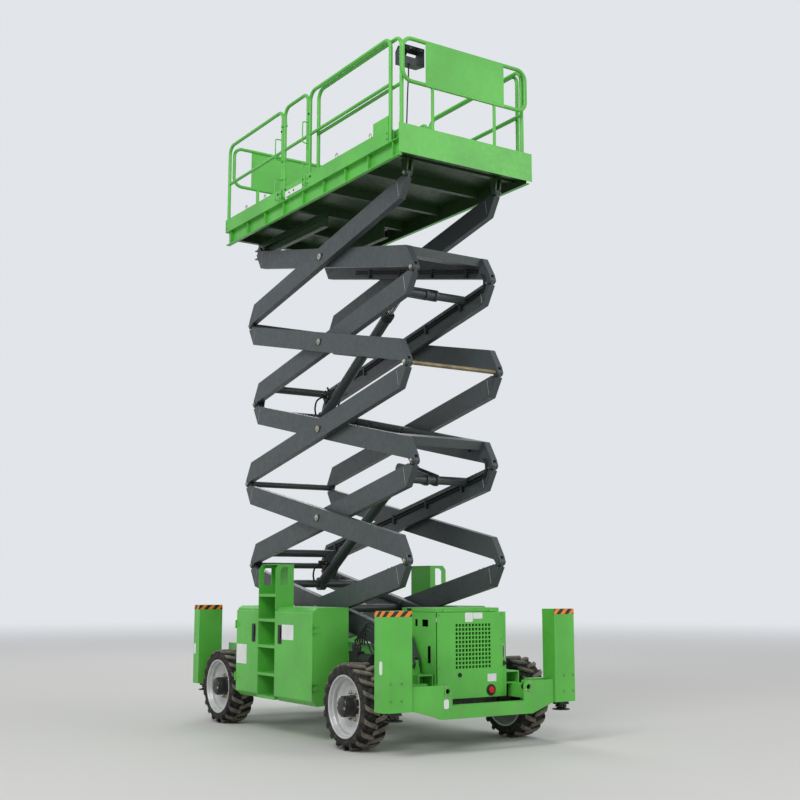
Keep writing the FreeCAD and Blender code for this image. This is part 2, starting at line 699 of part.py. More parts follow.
def ladder(s):
    """Folded steps between two cheeks that rise as a tower above the box."""
    t = WALL
    y_top = LADDER_Y0
    parts = []
    cheek = [(BOX_Y1, BOX_Z0 + 20), (BOX_Y1, LADDER_Z1 - 50), (BOX_Y1 - 40, LADDER_Z1), (y_top, LADDER_Z1),
             (y_top, BOX_Z0 + 20)]
    for x in (LADDER_X0, LADDER_X1 - t):
        plate = front_prism([(s * y, z) for y, z in cheek], x, x + t)
        y0, y1 = BOX_Y1 - 150, BOX_Y1 - 60
        z0, z1 = LADDER_Z1 - 222, LADDER_Z1 - 32
        window = [(y1, z0), (y1, z1 - 30), (y1 - 30, z1), (y0, z1), (y0, z0)]
        grip = front_prism([(s * y, z) for y, z in window], x - 1, x + t + 1)
        parts.append(plate.cut(grip))
    a, b = sorted((s * y_top, s * (y_top + t)))
    parts.append(box(LADDER_X0, LADDER_X1, a, b, BOX_Z0 + 20, LADDER_Z1))
    for z in STEP_Z:
        a, b = sorted((s * y_top, s * BOX_Y1))
        parts.append(box(LADDER_X0, LADDER_X1, a, b, z - STEP_T, z))
    a, b = sorted((s * (y_top), s * (BOX_Y1 - 40)))
    parts.append(box(LADDER_X0, LADDER_X1, a, b, LADDER_Z1 - t, LADDER_Z1))
    return fuse(parts)


def engine_box():
    """Box that is open under its lid, with a proud front panel that has the grille."""
    t = WALL
    x1 = ENG_X1 - PANEL_T
    outline = [(ENG_X0, ENG_STEP_Z), (ENG_STEP_X, ENG_STEP_Z), (ENG_STEP_X, ENG_Z0), (x1, ENG_Z0),
               (x1, ENG_Z1), (ENG_X0, ENG_Z1)]
    shell = side_prism(outline, -ENG_Y, ENG_Y)
    inside = [(ENG_X0 + t, ENG_STEP_Z + t), (ENG_STEP_X + t, ENG_STEP_Z + t), (ENG_STEP_X + t, ENG_Z0 + t),
              (x1 - t, ENG_Z0 + t), (x1 - t, ENG_Z1 - t), (ENG_X0 + t, ENG_Z1 - t)]
    o = LID_OVER
    holes = [side_prism(inside, -ENG_Y + t, ENG_Y - t),
             box(ENG_X0 + 2 * o, ENG_X1 - LID_BACK - o, LID_Y0 + o, LID_Y1 - o, ENG_Z1 - t - 1, ENG_Z1 + 1)]
    for back0, back1, down0, down1 in SIDE_HOLES:
        holes.append(box(ENG_X1 - back1, ENG_X1 - back0, -ENG_Y - 1, -ENG_Y + t + 1, ENG_Z1 - down1, ENG_Z1 - down0))
    shell = fuse([cut(shell, holes), box(x1 - 1, ENG_X1, PANEL_Y0, PANEL_Y1, ENG_Z0 - 5, ENG_Z1 - 2)])
    grille = []
    for i in range(GRILLE_N):
        for j in range(GRILLE_N):
            y = GRILLE_Y0 + i * GRILLE_PITCH
            z = GRILLE_Z0 + j * GRILLE_PITCH
            grille.append(box(x1 - t - 1, ENG_X1 + 1, y, y + GRILLE_HOLE, z, z + GRILLE_HOLE))
    return fuse([cut(shell, grille)] + lid_knuckles(1))


def engine_lid():
    o = LID_OVER
    x0, x1 = ENG_X0 - o, ENG_X1 - LID_BACK
    z = ENG_Z1 + 3
    lid = box(x0, x1, LID_Y0, LID_Y1, z, z + LID_T)
    inner = box(x0 + o, x1 - o, LID_Y0 + o, LID_Y1 - o, z - 1, z + LID_T - 8)
    return fuse([lid.cut(inner)] + lid_knuckles(0))


def lid_knuckles(which):
    """Hinge knuckles along the lid's front edge: 0 gives the lid's, 1 the box's."""
    r = LID_HINGE_R
    front = ENG_X1 - LID_BACK
    x = front + r + 1
    z = ENG_Z1 + SEAT_PLAY + r
    parts = []
    for s in (-1, 1):
        a, b = sorted((s * (LID_HINGE_Y[which] + which), s * LID_HINGE_Y[which + 1]))
        parts.append(rod((x, a, z), (x, b, z), r))
        if which:
            parts.append(box(x - r / 2, x + r / 2, a, b, ENG_Z1 - 1, z))
        else:
            parts.append(box(front - 2, x, a, b, z - r / 2, z + r / 2))
    return parts


def engine_block():
    return fuse([
        box(ENG_X0 + 70, ENG_X1 - 120, -260, 220, ENG_STEP_Z + WALL, ENG_STEP_Z + 330),
        box(ENG_X0 + 130, ENG_X1 - 180, -200, 160, ENG_STEP_Z + 329, ENG_STEP_Z + 520),
    ])


def axle(x):
    """Square beam with the drive housing in its middle and a flange at each end."""
    h = AXLE_SQ / 2
    end = KINGPIN_Y - 62
    parts = [box(x - h, x + h, -end, end, TYRE_R - h, TYRE_R + h),
             Part.makeSphere(AXLE_BALL_R, V(x, 0, TYRE_R))]
    return parts, end


def axle_front():
    x = WHEELBASE / 2
    parts, end = axle(x)
    for s in (-1, 1):
        a, b = sorted((s * (end - 5), s * (KINGPIN_Y + 34)))
        for z0 in (TYRE_R - FORK_IN - 40, TYRE_R + FORK_IN):
            parts.append(box(x - 45, x + 45, a, b, z0, z0 + 40))
        a, b = sorted((s * (end - 30), s * end))
        parts.append(box(x - 45, x + 45, a, b, TYRE_R - 125, TYRE_R + 125))
    return fuse(parts)


def axle_rear():
    x = -WHEELBASE / 2
    parts, end = axle(x)
    for s in (-1, 1):
        parts.append(rod((x, s * (end - 5), TYRE_R), (x, s * (TYRE_OUTER_Y - TYRE_W + 38), TYRE_R), 70))
    return fuse(parts)


def knuckle(s):
    """Steering knuckle: kingpin barrel between the axle's forks and the stub that carries the hub."""
    x = WHEELBASE / 2
    h = FORK_IN - SEAT_PLAY
    parts = [rod((x, s * KINGPIN_Y, TYRE_R - h), (x, s * KINGPIN_Y, TYRE_R + h), 40),
             rod((x, s * (KINGPIN_Y + 10), TYRE_R), (x, s * (TYRE_OUTER_Y - TYRE_W + 38), TYRE_R), 70)]
    return fuse(parts)


# Wheels
def revolve_y(points, x, s):
    """Turn a half section of radius and Y about the wheel's axle."""
    pts = [V(x, s * y, TYRE_R + r) for r, y in points]
    face = Part.Face(Part.makePolygon(pts + [pts[0]]))
    return face.revolve(V(x, 0, TYRE_R), V(0, 1, 0), 360)


def wheel_point(x, s, radius, degrees, y):
    a = math.radians(degrees)
    return V(x + radius * math.sin(a), s * y, TYRE_R + radius * math.cos(a))


def flat_solid(faces):
    """Solid from flat faces that are given as lists of corners."""
    shell = Part.Shell([Part.Face(Part.makePolygon(f + [f[0]])) for f in faces])
    solid = Part.Solid(shell)
    if solid.Volume < 0:
        solid.reverse()
    return solid


def tyre(x, s):
    """Carcass of flat facets, two to a lug, with slanted lugs from both shoulders."""
    y1 = TYRE_OUTER_Y
    y0 = y1 - TYRE_W
    tread = TYRE_R - TREAD_DEPTH
    turn = 180.0 / LUGS_PER_SIDE
    clear = 1 / math.cos(math.radians(turn / 2))
    bead = (RIM_R - 10) * clear
    section = [(bead, y0 + 25), (tread - 45, y0), (tread, y0 + 40), (tread, y1 - 40), (tread - 45, y1),
               (bead, y1 - 25)]
    faces = []
    for i in range(2 * LUGS_PER_SIDE):
        a = (i - 0.5) * turn
        for (r0, p), (r1, q) in zip(section, section[1:] + section[:1]):
            faces.append([wheel_point(x, s, r0, a, p), wheel_point(x, s, r1, a, q),
                          wheel_point(x, s, r1, a + turn, q), wheel_point(x, s, r0, a + turn, p)])
    lugs = [lug(x, s, side, (2 * i + side) * turn) for side in (0, 1) for i in range(LUGS_PER_SIDE)]
    return flat_solid(faces).multiFuse(lugs).removeSplitter()


def lug(x, s, side, start):
    """One slanted bar of the tread, from the shoulder to past the middle line."""
    mid = TYRE_OUTER_Y - TYRE_W / 2
    sgn = 1 if side else -1
    rows = []
    for y, centre, width in ((mid + sgn * TYRE_W / 2, 0.0, LUG_W_OUT), (mid - sgn * LUG_OVER, LUG_SWEEP, LUG_W_IN)):
        for r in (TYRE_R, TYRE_R - TREAD_DEPTH - LUG_ROOT):
            for edge in (-width / 2, width / 2):
                rows.append(wheel_point(x, s, r, start + math.degrees((centre + edge) / TYRE_R), y))
    a, b, c, d, e, f, g, h = rows
    quads = [(a, b, f, e), (c, d, h, g), (a, c, g, e), (b, d, h, f)]
    faces = [[a, b, d, c], [e, f, h, g]]
    for p, q, r, t in quads:
        faces += [[p, q, r], [p, r, t]]
    return flat_solid(faces)


def rim(x, s):
    y1 = TYRE_OUTER_Y
    y0 = y1 - TYRE_W
    r = RIM_R - 10.3
    dish = y1 - 120
    section = [(HUB_R + 1, dish), (200, dish), (225, dish + 20), (r - 30, y1 - 34), (r, y1 - 12), (r + 8, y1 - 12),
               (r, y1 - 25), (r, y0 + 25), (r + 8, y0 + 12), (r, y0 + 12), (r - 20, y0 + 30), (225, dish - 40),
               (200, dish - 14), (HUB_R + 1, dish - 14)]
    return revolve_y(section, x, s)


def hub(x, s):
    """Planetary drive: flange behind the disc, stepped drum in front with a ring of bolts."""
    dish = TYRE_OUTER_Y - 120
    out = TYRE_OUTER_Y - 8 + HUB_OUT
    inner = TYRE_OUTER_Y - TYRE_W + 38.3
    section = [(0, inner), (150, inner), (150, dish - 15), (HUB_R, dish - 15), (HUB_R, dish + 30),
               (92, dish + 34), (92, out - 20), (70, out), (0, out)]
    body = revolve_y(section, x, s)
    nuts = []
    for i in range(8):
        a = math.radians(45 * i)
        p = (x + 128 * math.cos(a), s * dish, TYRE_R + 128 * math.sin(a))
        q = (p[0], s * (dish + 22), p[2])
        nuts.append(rod(p, q, 13))
    return body, nuts


# Platform pieces
def platform_frame():
    z1 = FLOOR_Z
    ext = PLAT_X1 - 30
    parts = [box(PLAT_X0 + TOE_T, ext, -PLAT_Y + TOE_T, PLAT_Y - TOE_T, z1 - FLOOR_T, z1)]
    for s in (-1, 1):
        a, b = sorted((s * WEB_Y, s * (WEB_Y - 8)))
        parts.append(box(PLAT_X0 + TOE_T, ext, a, b, FRAME_Z0, z1 - FLOOR_T + 1))
        a, b = sorted((s * (WEB_Y - 8), s * (PLAT_Y - 12)))
        parts.append(box(PLAT_X0 + TOE_T, ext, a, b, FRAME_Z0, FRAME_Z0 + 10))
        pitch = (PLAT_X1 - PLAT_X0 - 270) / 8
        for i in range(9):
            x = PLAT_X0 + 120 + i * pitch
            a, b = sorted((s * (WEB_Y - 1), s * (PLAT_Y - 14)))
            parts.append(box(x, x + 10, a, b, FRAME_Z0 + 9, z1 - FLOOR_T + 1))
        parts += platform_track(s)
        parts += platform_bracket(s)
    pitch = (PLAT_X1 - PLAT_X0 - 200) / 5
    for x in [PLAT_X0 + 30 + i * pitch for i in range(6)] + [FRONT_X - 30]:
        parts.append(box(x, x + 60, -WEB_Y + 1, WEB_Y - 1, FRAME_Z0 + 70, z1 - FLOOR_T + 1))
    return fuse(parts)


def platform_track(s):
    """Channel under the floor, open outwards, for the rollers of the top inner arms."""
    edge = ARM_INNER_Y - ARM_W / 2
    out = edge - 8
    back = edge - 10 - ROLLER_W - 6
    z0 = TOP_PIN_Z - ROLLER_R - TRACK_GAP
    z1 = TOP_PIN_Z + ROLLER_R + TRACK_GAP
    a, b = sorted((s * back, s * (back - 10)))
    web = box(TRACK_X0 + 10, TRACK_X1, a, b, z0 - 10, FRAME_Z0 + 80)
    c, d = sorted((s * out, s * (back - 1)))
    return [web, box(TRACK_X0 + 10, TRACK_X1, c, d, z0 - 10, z0), box(TRACK_X0 + 10, TRACK_X1, c, d, z1, z1 + 10)]


def platform_bracket(s):
    """Two hanging ears that hold the pin of the top outer arm."""
    kw = KNUCKLE_W / 2
    parts = []
    for side in (-1, 1):
        y0 = ARM_OUTER_Y + side * (kw + EAR_GAP)
        y1 = ARM_OUTER_Y + side * (ARM_W / 2)
        a, b = sorted((s * y0, s * y1))
        outline = [(FRONT_X - 34, TOP_PIN_Z), (FRONT_X + 34, TOP_PIN_Z), (FRONT_X + 60, FRAME_Z0 + 80),
                   (FRONT_X - 60, FRAME_Z0 + 80)]
        plate = side_prism(outline, a, b).fuse(rod((FRONT_X, a, TOP_PIN_Z), (FRONT_X, b, TOP_PIN_Z), TIP_R))
        parts.append(plate.cut(rod((FRONT_X, a - 1, TOP_PIN_Z), (FRONT_X, b + 1, TOP_PIN_Z), PIN_R + PIN_PLAY)))
    a, b = sorted((s * (ARM_OUTER_Y - ARM_W / 2), s * (ARM_OUTER_Y + ARM_W / 2)))
    parts.append(box(FRONT_X - 60, FRONT_X + 60, a, b, FRAME_Z0 + 60, FRAME_Z0 + 90))
    return parts


def toe_boards():
    parts = []
    z0 = FLOOR_Z - 12
    for s in (-1, 1):
        a, b = sorted((s * (PLAT_Y - TOE_T), s * PLAT_Y))
        if s < 0:
            parts.append(box(PLAT_X0, GATE_X0 - 20, a, b, z0, TOE_Z1))
            parts.append(box(GATE_X1 + 20, SIDE_X1, a, b, z0, TOE_Z1))
        else:
            parts.append(box(PLAT_X0, SIDE_X1, a, b, z0, TOE_Z1))
        parts.append(box(SIDE_X1 - TALL_TOE_L, SIDE_X1, a, b, TOE_Z1 - 1, FLOOR_Z + TALL_TOE_H))
    parts.append(box(PLAT_X0, PLAT_X0 + TOE_T, -PLAT_Y + 1, PLAT_Y - 1, z0, TOE_Z1))
    return fuse(parts)


def side_rail(y, x0, x1, top, mid, foot):
    """Hooped guard rail with a middle bar and two feet."""
    hoop = bent_tube([(x0, y, foot), (x0, y, top), (x1, y, top), (x1, y, foot)], RAIL_R, BEND_R)
    bar = rod((x0, y, mid), (x1, y, mid), RAIL_R * 0.9)
    return hoop.fuse(bar)


def guard_rails():
    foot = FLOOR_Z
    rear = PLAT_X0 + 35
    parts = [side_rail(-RAIL_Y, rear, GATE_X0 - POST_GAP, TOP_Z, MID_Z, foot),
             side_rail(-RAIL_Y, GATE_X1 + POST_GAP, SIDE_X1, TOP_Z, MID_Z, foot),
             side_rail(RAIL_Y, rear, GATE_X1, TOP_Z, MID_Z, foot),
             side_rail(RAIL_Y, GATE_X1 + POST_GAP, SIDE_X1, TOP_Z, MID_Z, foot)]
    top = FLOOR_Z + GATE_LOW - SEAT_PLAY
    seat = box(GATE_X0 - POST_GAP, GATE_X0 + GATE_IN + 15, -RAIL_Y - 15, -RAIL_Y + 15, top - 12, top)
    parts[0] = parts[0].fuse(seat)
    return parts


def end_loop(x, half, top, low):
    return bent_tube([(x, -half, low), (x, half, low), (x, half, top), (x, -half, top)], RAIL_R, BEND_R, closed=True)


def rear_rail():
    x = PLAT_X0 + 35
    half = RAIL_Y - 60
    loop = end_loop(x, half, TOP_Z, MID_Z)
    panel = box(x - 3, x + 3, PANEL_HALF[0], PANEL_HALF[1], MID_Z, TOP_Z)
    posts = [rod((x, y, FLOOR_Z), (x, y, MID_Z), RAIL_R) for y in POST_Y]
    return fuse([loop, panel] + posts)


def gate():
    x0 = GATE_X0 + GATE_IN
    x1 = GATE_X1 - GATE_IN
    low = FLOOR_Z + GATE_LOW
    high = TOP_Z + 10
    hoop = bent_tube([(x0, -RAIL_Y, low), (x0, -RAIL_Y, high),
                      (x1, -RAIL_Y, high), (x1, -RAIL_Y, low)], RAIL_R, BEND_R)
    bars = [rod((x0, -RAIL_Y, z), (x1, -RAIL_Y, z), RAIL_R * 0.9) for z in (MID_Z, low + 30)]
    kick = box(x0 + 20, x1 - 20, -PLAT_Y + 8, -PLAT_Y + 14, FLOOR_Z + 20, TOE_Z1)
    return fuse([hoop, kick] + bars)


def extension_deck():
    z0 = FLOOR_Z + 6
    deck = [box(EXT_X0, PLAT_X1 - 6, -EXT_RAIL_Y + 30, EXT_RAIL_Y - 30, z0, z0 + 20)]
    deck.append(box(PLAT_X1 - TOE_T, PLAT_X1, -PLAT_Y, PLAT_Y, FRAME_Z0 + 20, TOE_Z1))
    for s in (-1, 1):
        a, b = sorted((s * (EXT_RAIL_Y - 31), s * (EXT_RAIL_Y - 25)))
        deck.append(box(EXT_X0, PLAT_X1 - 5, a, b, z0, TOE_Z1))
        a, b = sorted((s * (STRIP_Y - 30), s * (STRIP_Y + 30)))
        deck.append(box(EXT_X0 + 10, PLAT_X1 - 20, a, b, FLOOR_Z + SEAT_PLAY, z0 + 1))
        a, b = sorted((s * (EXT_RAIL_Y - 31), s * (EXT_RAIL_Y + 19)))
        for x in (EXT_X0 + 45, PLAT_X1 - 70):
            deck.append(box(x - 30, x + 30, a, b, z0 + 8, z0 + 20))
    x, y, z = CABLE_ROUTE[-1]
    deck.append(rod((x, y, z0 + 19), (x, y, z), CABLE_R + 6))
    return fuse(deck)


def extension_rails():
    foot = FLOOR_Z + 26
    x1 = PLAT_X1 - 70
    parts = []
    for s in (-1, 1):
        hoop = side_rail(s * EXT_RAIL_Y, EXT_X0 + 45, x1, EXT_TOP_Z, MID_Z - 20, foot)
        parts.append(hoop)
    x = PLAT_X1 - 24
    half = PLAT_Y - 25
    loop = end_loop(x, half - 35, EXT_TOP_Z - 30, MID_Z)
    panel = box(x + 14, x + 20, PANEL_HALF[0], PANEL_HALF[1], MID_Z - 20, EXT_TOP_Z - 30)
    posts = [rod((x, y, FLOOR_Z + 26), (x, y, MID_Z), RAIL_R - 4) for y in POST_Y]
    return parts + [fuse([loop, panel] + posts)]


def control_box():
    x, z = CTRL_X, CTRL_Z
    body = side_prism([(x, z), (x + 165, z - 30), (x + 165, z + 170), (x + 50, z + 190), (x, z + 140)],
                      CTRL_Y[0], CTRL_Y[1])
    hooks = []
    for y in (CTRL_Y[0] + 35, CTRL_Y[1] - 80):
        hooks.append(box(x + 164, x + 208, y, y + 30, z + 130, z + 136))
    x, y, z = CABLE_ROUTE[0]
    gland = rod((x, y, z), (x, y, z + 40), CABLE_R + 6)
    return fuse([body, gland] + hooks)


# Control cable, from the gland under the control box to the one on the roll-out deck.
# Each row holds the place behind the box's back, Y and the share of the height between the glands.
CABLE_R = 7.0
DECK_TOP = FLOOR_Z + 26.0
CABLE_FORM = [
    (122.0, -650.0, 1.0),
    (122.0, -650.0, 0.895),
    (128.0, -662.0, 0.729),
    (144.0, -680.0, 0.537),
    (157.0, -692.0, 0.345),
    (156.0, -697.0, 0.166),
    (146.0, -695.0, 0.051),
    (146.0, -695.0, 0.0),
]
GLAND_LOW = DECK_TOP + 24.0
GLAND_HIGH = CTRL_Z - 48.0
CABLE_ROUTE = [(CTRL_X + x, y, GLAND_LOW + share * (GLAND_HIGH - GLAND_LOW)) for x, y, share in CABLE_FORM]


def cord_tube(points, r):
    """Round tube whose turns are as large as the runs beside them allow."""
    pts = [V(*p) for p in points]
    edges = []
    radii = []
    last = pts[0]
    for a, p, b in zip(pts, pts[1:], pts[2:]):
        u = a - p
        w = b - p
        t = 0.45 * min(u.Length, w.Length)
        u.normalize()
        w.normalize()
        half = u.getAngle(w) / 2
        radius = t * math.tan(half)
        mid = p + (u + w).normalize() * (radius / math.sin(half) - radius)
        edges.append(Part.LineSegment(last, p + u * t).toShape())
        edges.append(Part.Arc(p + u * t, mid, p + w * t).toShape())
        last = p + w * t
        radii.append(round(radius))
    edges.append(Part.LineSegment(last, pts[-1]).toShape())
    path = Part.Wire(edges)
    ring = Part.Wire(Part.makeCircle(r, pts[0], pts[1] - pts[0]))
    tube = path.makePipeShell([ring], True, True)
    share = tube.Volume / (math.pi * r * r * path.Length)
    print("cable radii mm", radii, "length mm", round(path.Length), "volume over section times length", round(share, 4))
    return tube


def save(name, shapes):
    shape = shapes if isinstance(shapes, Part.Shape) else Part.makeCompound(shapes)
    shape.exportStep("parts/%s.step" % name)


def make_all():
    nodes = {}
    nodes["chassis_frame"] = chassis_frame()
    nodes["bumpers"] = [bumper(), mirror_x(bumper())]
    nodes["outrigger_housings"] = [outrigger_housing(x0, x1, s) for x0, x1 in (OUT_FRONT, OUT_REAR) for s in (-1, 1)]
    nodes["side_boxes"] = [side_box(-1), side_box(1)]
    nodes["ladders"] = [ladder(-1), ladder(1)]
    nodes["engine_box"] = engine_box()
    nodes["engine_block"] = engine_block()
    nodes["engine_lid"] = engine_lid()
    nodes["axle_front"] = axle_front()
    nodes["axle_rear"] = axle_rear()
    for side, s in (("left", -1), ("right", 1)):
        nodes["front_door_" + side] = door(LADDER_X1, BOX_X1, s)
        nodes["rear_door_" + side] = door(BOX_X0, LADDER_X0, s)
        nodes["knuckle_" + side] = knuckle(s)
        for end, x in (("front", WHEELBASE / 2), ("rear", -WHEELBASE / 2)):
            tag = end + "_" + side
            nodes["tyre_" + tag] = tyre(x, s)
            nodes["rim_" + tag] = rim(x, s)
            body, nuts = hub(x, s)
            nodes["hub_" + tag] = fuse([body] + nuts)
            spot = OUT_FRONT if x > 0 else OUT_REAR
            nodes["outrigger_leg_" + tag] = leg(spot[0], spot[1], s)
    for k in range(STAGES):
        nodes["inner_arms_%d" % (k + 1)] = inner_frame(k)
        nodes["outer_arms_%d" % (k + 1)] = outer_frame(k)
    for name, k in (("lower", 0), ("upper", 2)):
        barrel, piston = lift_cylinder(k)
        nodes["lift_barrel_" + name] = barrel
        nodes["lift_rod_" + name] = piston
    nodes["platform_frame"] = platform_frame()
    nodes["toe_boards"] = toe_boards()
    nodes["guard_rails"] = guard_rails()
    nodes["rear_rail"] = rear_rail()
    nodes["gate"] = gate()
    nodes["extension_deck"] = extension_deck()
    nodes["extension_rails"] = extension_rails()
    nodes["control_box"] = control_box()
    nodes["control_cable"] = cord_tube(CABLE_ROUTE, CABLE_R)
    return nodes


os.makedirs("parts", exist_ok=True)
for node_name, node_shape in make_all().items():
    save(node_name, node_shape)
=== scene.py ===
import json
import math

import bmesh
import bpy
from mathutils import Matrix, Vector


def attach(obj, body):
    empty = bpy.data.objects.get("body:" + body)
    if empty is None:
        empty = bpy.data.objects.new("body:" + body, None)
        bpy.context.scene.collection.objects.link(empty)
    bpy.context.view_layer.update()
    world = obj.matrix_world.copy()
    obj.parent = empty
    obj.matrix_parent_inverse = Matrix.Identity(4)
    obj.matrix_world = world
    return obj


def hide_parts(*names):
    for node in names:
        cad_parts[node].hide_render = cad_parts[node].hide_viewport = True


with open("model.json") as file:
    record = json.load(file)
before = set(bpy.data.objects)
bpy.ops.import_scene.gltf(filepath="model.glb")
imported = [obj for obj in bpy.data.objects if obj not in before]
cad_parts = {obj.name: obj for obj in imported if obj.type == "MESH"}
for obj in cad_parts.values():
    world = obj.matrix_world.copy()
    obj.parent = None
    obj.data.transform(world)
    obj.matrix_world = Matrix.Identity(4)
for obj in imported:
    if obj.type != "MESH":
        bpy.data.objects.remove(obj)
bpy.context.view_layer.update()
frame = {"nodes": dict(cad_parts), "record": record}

# The part's own frame: +X towards the engine box, +Z up, -Y towards the camera. Shapes are drawn in
# millimetres; the camera, the stage, the lamps and the cable are in metres.
MM = 0.001
LEFT, RIGHT = -1, 1
SIDES = (LEFT, RIGHT)
NAMED_SIDES = ((LEFT, "left"), (RIGHT, "right"))
FORWARDS = (1, 0, 0)
UP = (0, 0, 1)

# Camera of the photograph
CAMERA_AT = (11.69, -7.241, 1.579)
CAMERA_YAW = 146.58
CAMERA_PITCH = 8.637
CAMERA_LENS = 54.49
SENSOR = 36.0

# Wheels
TYRE_R = 413
AXLE_X = 1420

# Colours as they are seen in plain light, sRGB
GREEN = (88, 180, 66)
# Painted shade, with some oily grime: the dark green of the platform's frame under its floor
GREEN_UNDER_SHADE = (38, 66, 32)
DUST = (127, 119, 108)
TAPE_ORANGE = (238, 132, 28)
BACKDROP = (226, 229, 233)


# Shapes
def around(count, radius, first=0.0):
    """Points spaced evenly on a circle, from the given angle on."""
    angles = [first + 2 * math.pi * i / count for i in range(count)]
    return [(radius * math.cos(a), radius * math.sin(a)) for a in angles]


class Shape:
    """Faces gathered for one piece."""

    def __init__(self):
        self.bm = bmesh.new()

    def add(self, verts, faces, place=None):
        made = [self.bm.verts.new((place @ Vector(v) if place else Vector(v)) * MM) for v in verts]
        for f in faces:
            self.bm.faces.new([made[i] for i in f])

    def prism(self, outline, low, high, place=None):
        """Outline in the local XY plane, from low to high along Z."""
        n = len(outline)
        verts = [(x, y, low) for x, y in outline] + [(x, y, high) for x, y in outline]
        faces = [tuple(range(n - 1, -1, -1)), tuple(range(n, 2 * n))]
        faces += [(i, (i + 1) % n, (i + 1) % n + n, i + n) for i in range(n)]
        self.add(verts, faces, place)

    def block(self, low, high, place=None):
        (x0, y0, z0), (x1, y1, z1) = low, high
        self.prism([(x0, y0), (x1, y0), (x1, y1), (x0, y1)], z0, z1, place)

    def lathe(self, profile, place, turns=24):
        """Radius and height pairs turned about the local Z axis; a radius of 0 closes an end."""
        rings = []
        verts = []
        for r, h in profile:
            if r == 0:
                rings.append([len(verts)])
                verts.append((0, 0, h))
                continue
            rings.append(list(range(len(verts), len(verts) + turns)))
            verts += [(x, y, h) for x, y in around(turns, r)]
        faces = []
        for low, high in zip(rings, rings[1:]):
            for i in range(turns):
                j = (i + 1) % turns
                if len(low) == 1 and len(high) == 1:
                    continue
                if len(low) == 1:
                    faces.append((low[0], high[j], high[i]))
                elif len(high) == 1:
                    faces.append((low[i], low[j], high[0]))
                else:
                    faces.append((low[i], low[j], high[j], high[i]))
        self.add(verts, faces, place)

    def turn(self, profile, place, turns=24):
        """Lathe of a profile that flat discs close at both ends."""
        self.lathe([(0, profile[0][1]), *profile, (0, profile[-1][1])], place, turns)

    def tube(self, points, radius, sides=10, closed=False):
        """Round tube along points that are close together."""
        pts = [Vector(p) for p in points]
        n = len(pts)
        ahead = [(pts[(i + 1) % n] - pts[i - 1]) if closed or 0 < i < n - 1
            else (pts[1] - pts[0] if i == 0 else pts[-1] - pts[-2]) for i in range(n)]
        normal = ahead[0].orthogonal().normalized()
        rings, verts = [], []
        for p, d in zip(pts, ahead):
            d = d.normalized()
            normal = (normal - d * normal.dot(d)).normalized()
            side = d.cross(normal)
            rings.append(range(len(verts), len(verts) + sides))
            verts += [p + normal * x + side * y for x, y in around(sides, radius)]
        faces = []
        for low, high in zip(rings, rings[1:]):
            faces += [(low[i], low[(i + 1) % sides], high[(i + 1) % sides], high[i])
                for i in range(sides)]
        if closed:
            low, high = rings[-1], rings[0]
            best = min(range(sides), key=lambda s: (verts[low[0]] - verts[high[s]]).length)
            faces += [(low[i], low[(i + 1) % sides], high[(i + 1 + best) % sides],
                high[(i + best) % sides]) for i in range(sides)]
        else:
            faces += [tuple(reversed(rings[0])), tuple(rings[-1])]
        self.add(verts, faces)

    def piece(self, name, material, body="chassis", slot=None, crease=35, bevel=0):
        """Makes the faces an object that rides on a body."""
        bmesh.ops.recalc_face_normals(self.bm, faces=self.bm.faces)
        limit = math.radians(crease)
        for e in self.bm.edges:
            e.smooth = len(e.link_faces) == 2 and e.calc_face_angle(0) < limit
        for f in self.bm.faces:
            f.smooth = True
        data = bpy.data.meshes.new(name)
        self.bm.to_mesh(data)
        self.bm.free()
        data.materials.append(material)
        obj = add_object(name, data)
        if bevel:
            soften(obj, bevel, crease)
        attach(obj, body)
        slot = slot or SLOT_OF.get(material.name)
        return obj


def add_object(name, data):
    obj = bpy.data.objects.new(name, data)
    bpy.context.scene.collection.objects.link(obj)
    return obj


def aim(obj, spot, way):
    """Stands a lamp or the camera on a spot, looking along the given way."""
    obj.location = spot
    obj.rotation_mode = "QUATERNION"
    obj.rotation_quaternion = way.to_track_quat("-Z", "Y")


def soften(obj, width, angle):
    m = obj.modifiers.new("edges", "BEVEL")
    m.width = width * MM
    m.segments = 2
    m.limit_method = "ANGLE"
    m.angle_limit = math.radians(angle)
    m.harden_normals = False


def at(point, normal=UP):
    """Frame at a point whose Z axis is the given normal."""
    n = Vector(normal).normalized()
    q = Vector((0, 0, 1)).rotation_difference(n)
    return Matrix.Translation(point) @ q.to_matrix().to_4x4()


def smooth_path(points, steps=8):
    """Points of a Catmull-Rom curve through the given ones."""
    p = [Vector(q) for q in points]
    p = [p[0] * 2 - p[1]] + p + [p[-1] * 2 - p[-2]]
    out = []
    for a, b, c, d in zip(p, p[1:], p[2:], p[3:]):
        for i in range(steps):
            t = i / steps
            out.append(0.5 * (2 * b + (c - a) * t + (2 * a - 5 * b + 4 * c - d) * t * t
                + (3 * b - a - 3 * c + d) * t * t * t))
    out.append(p[-2])
    return out


# Materials
def linear(rgb):
    out = []
    for c in rgb:
        c /= 255.0
        out.append(c / 12.92 if c <= 0.04045 else ((c + 0.055) / 1.055) ** 2.4)
    return (*out, 1.0)


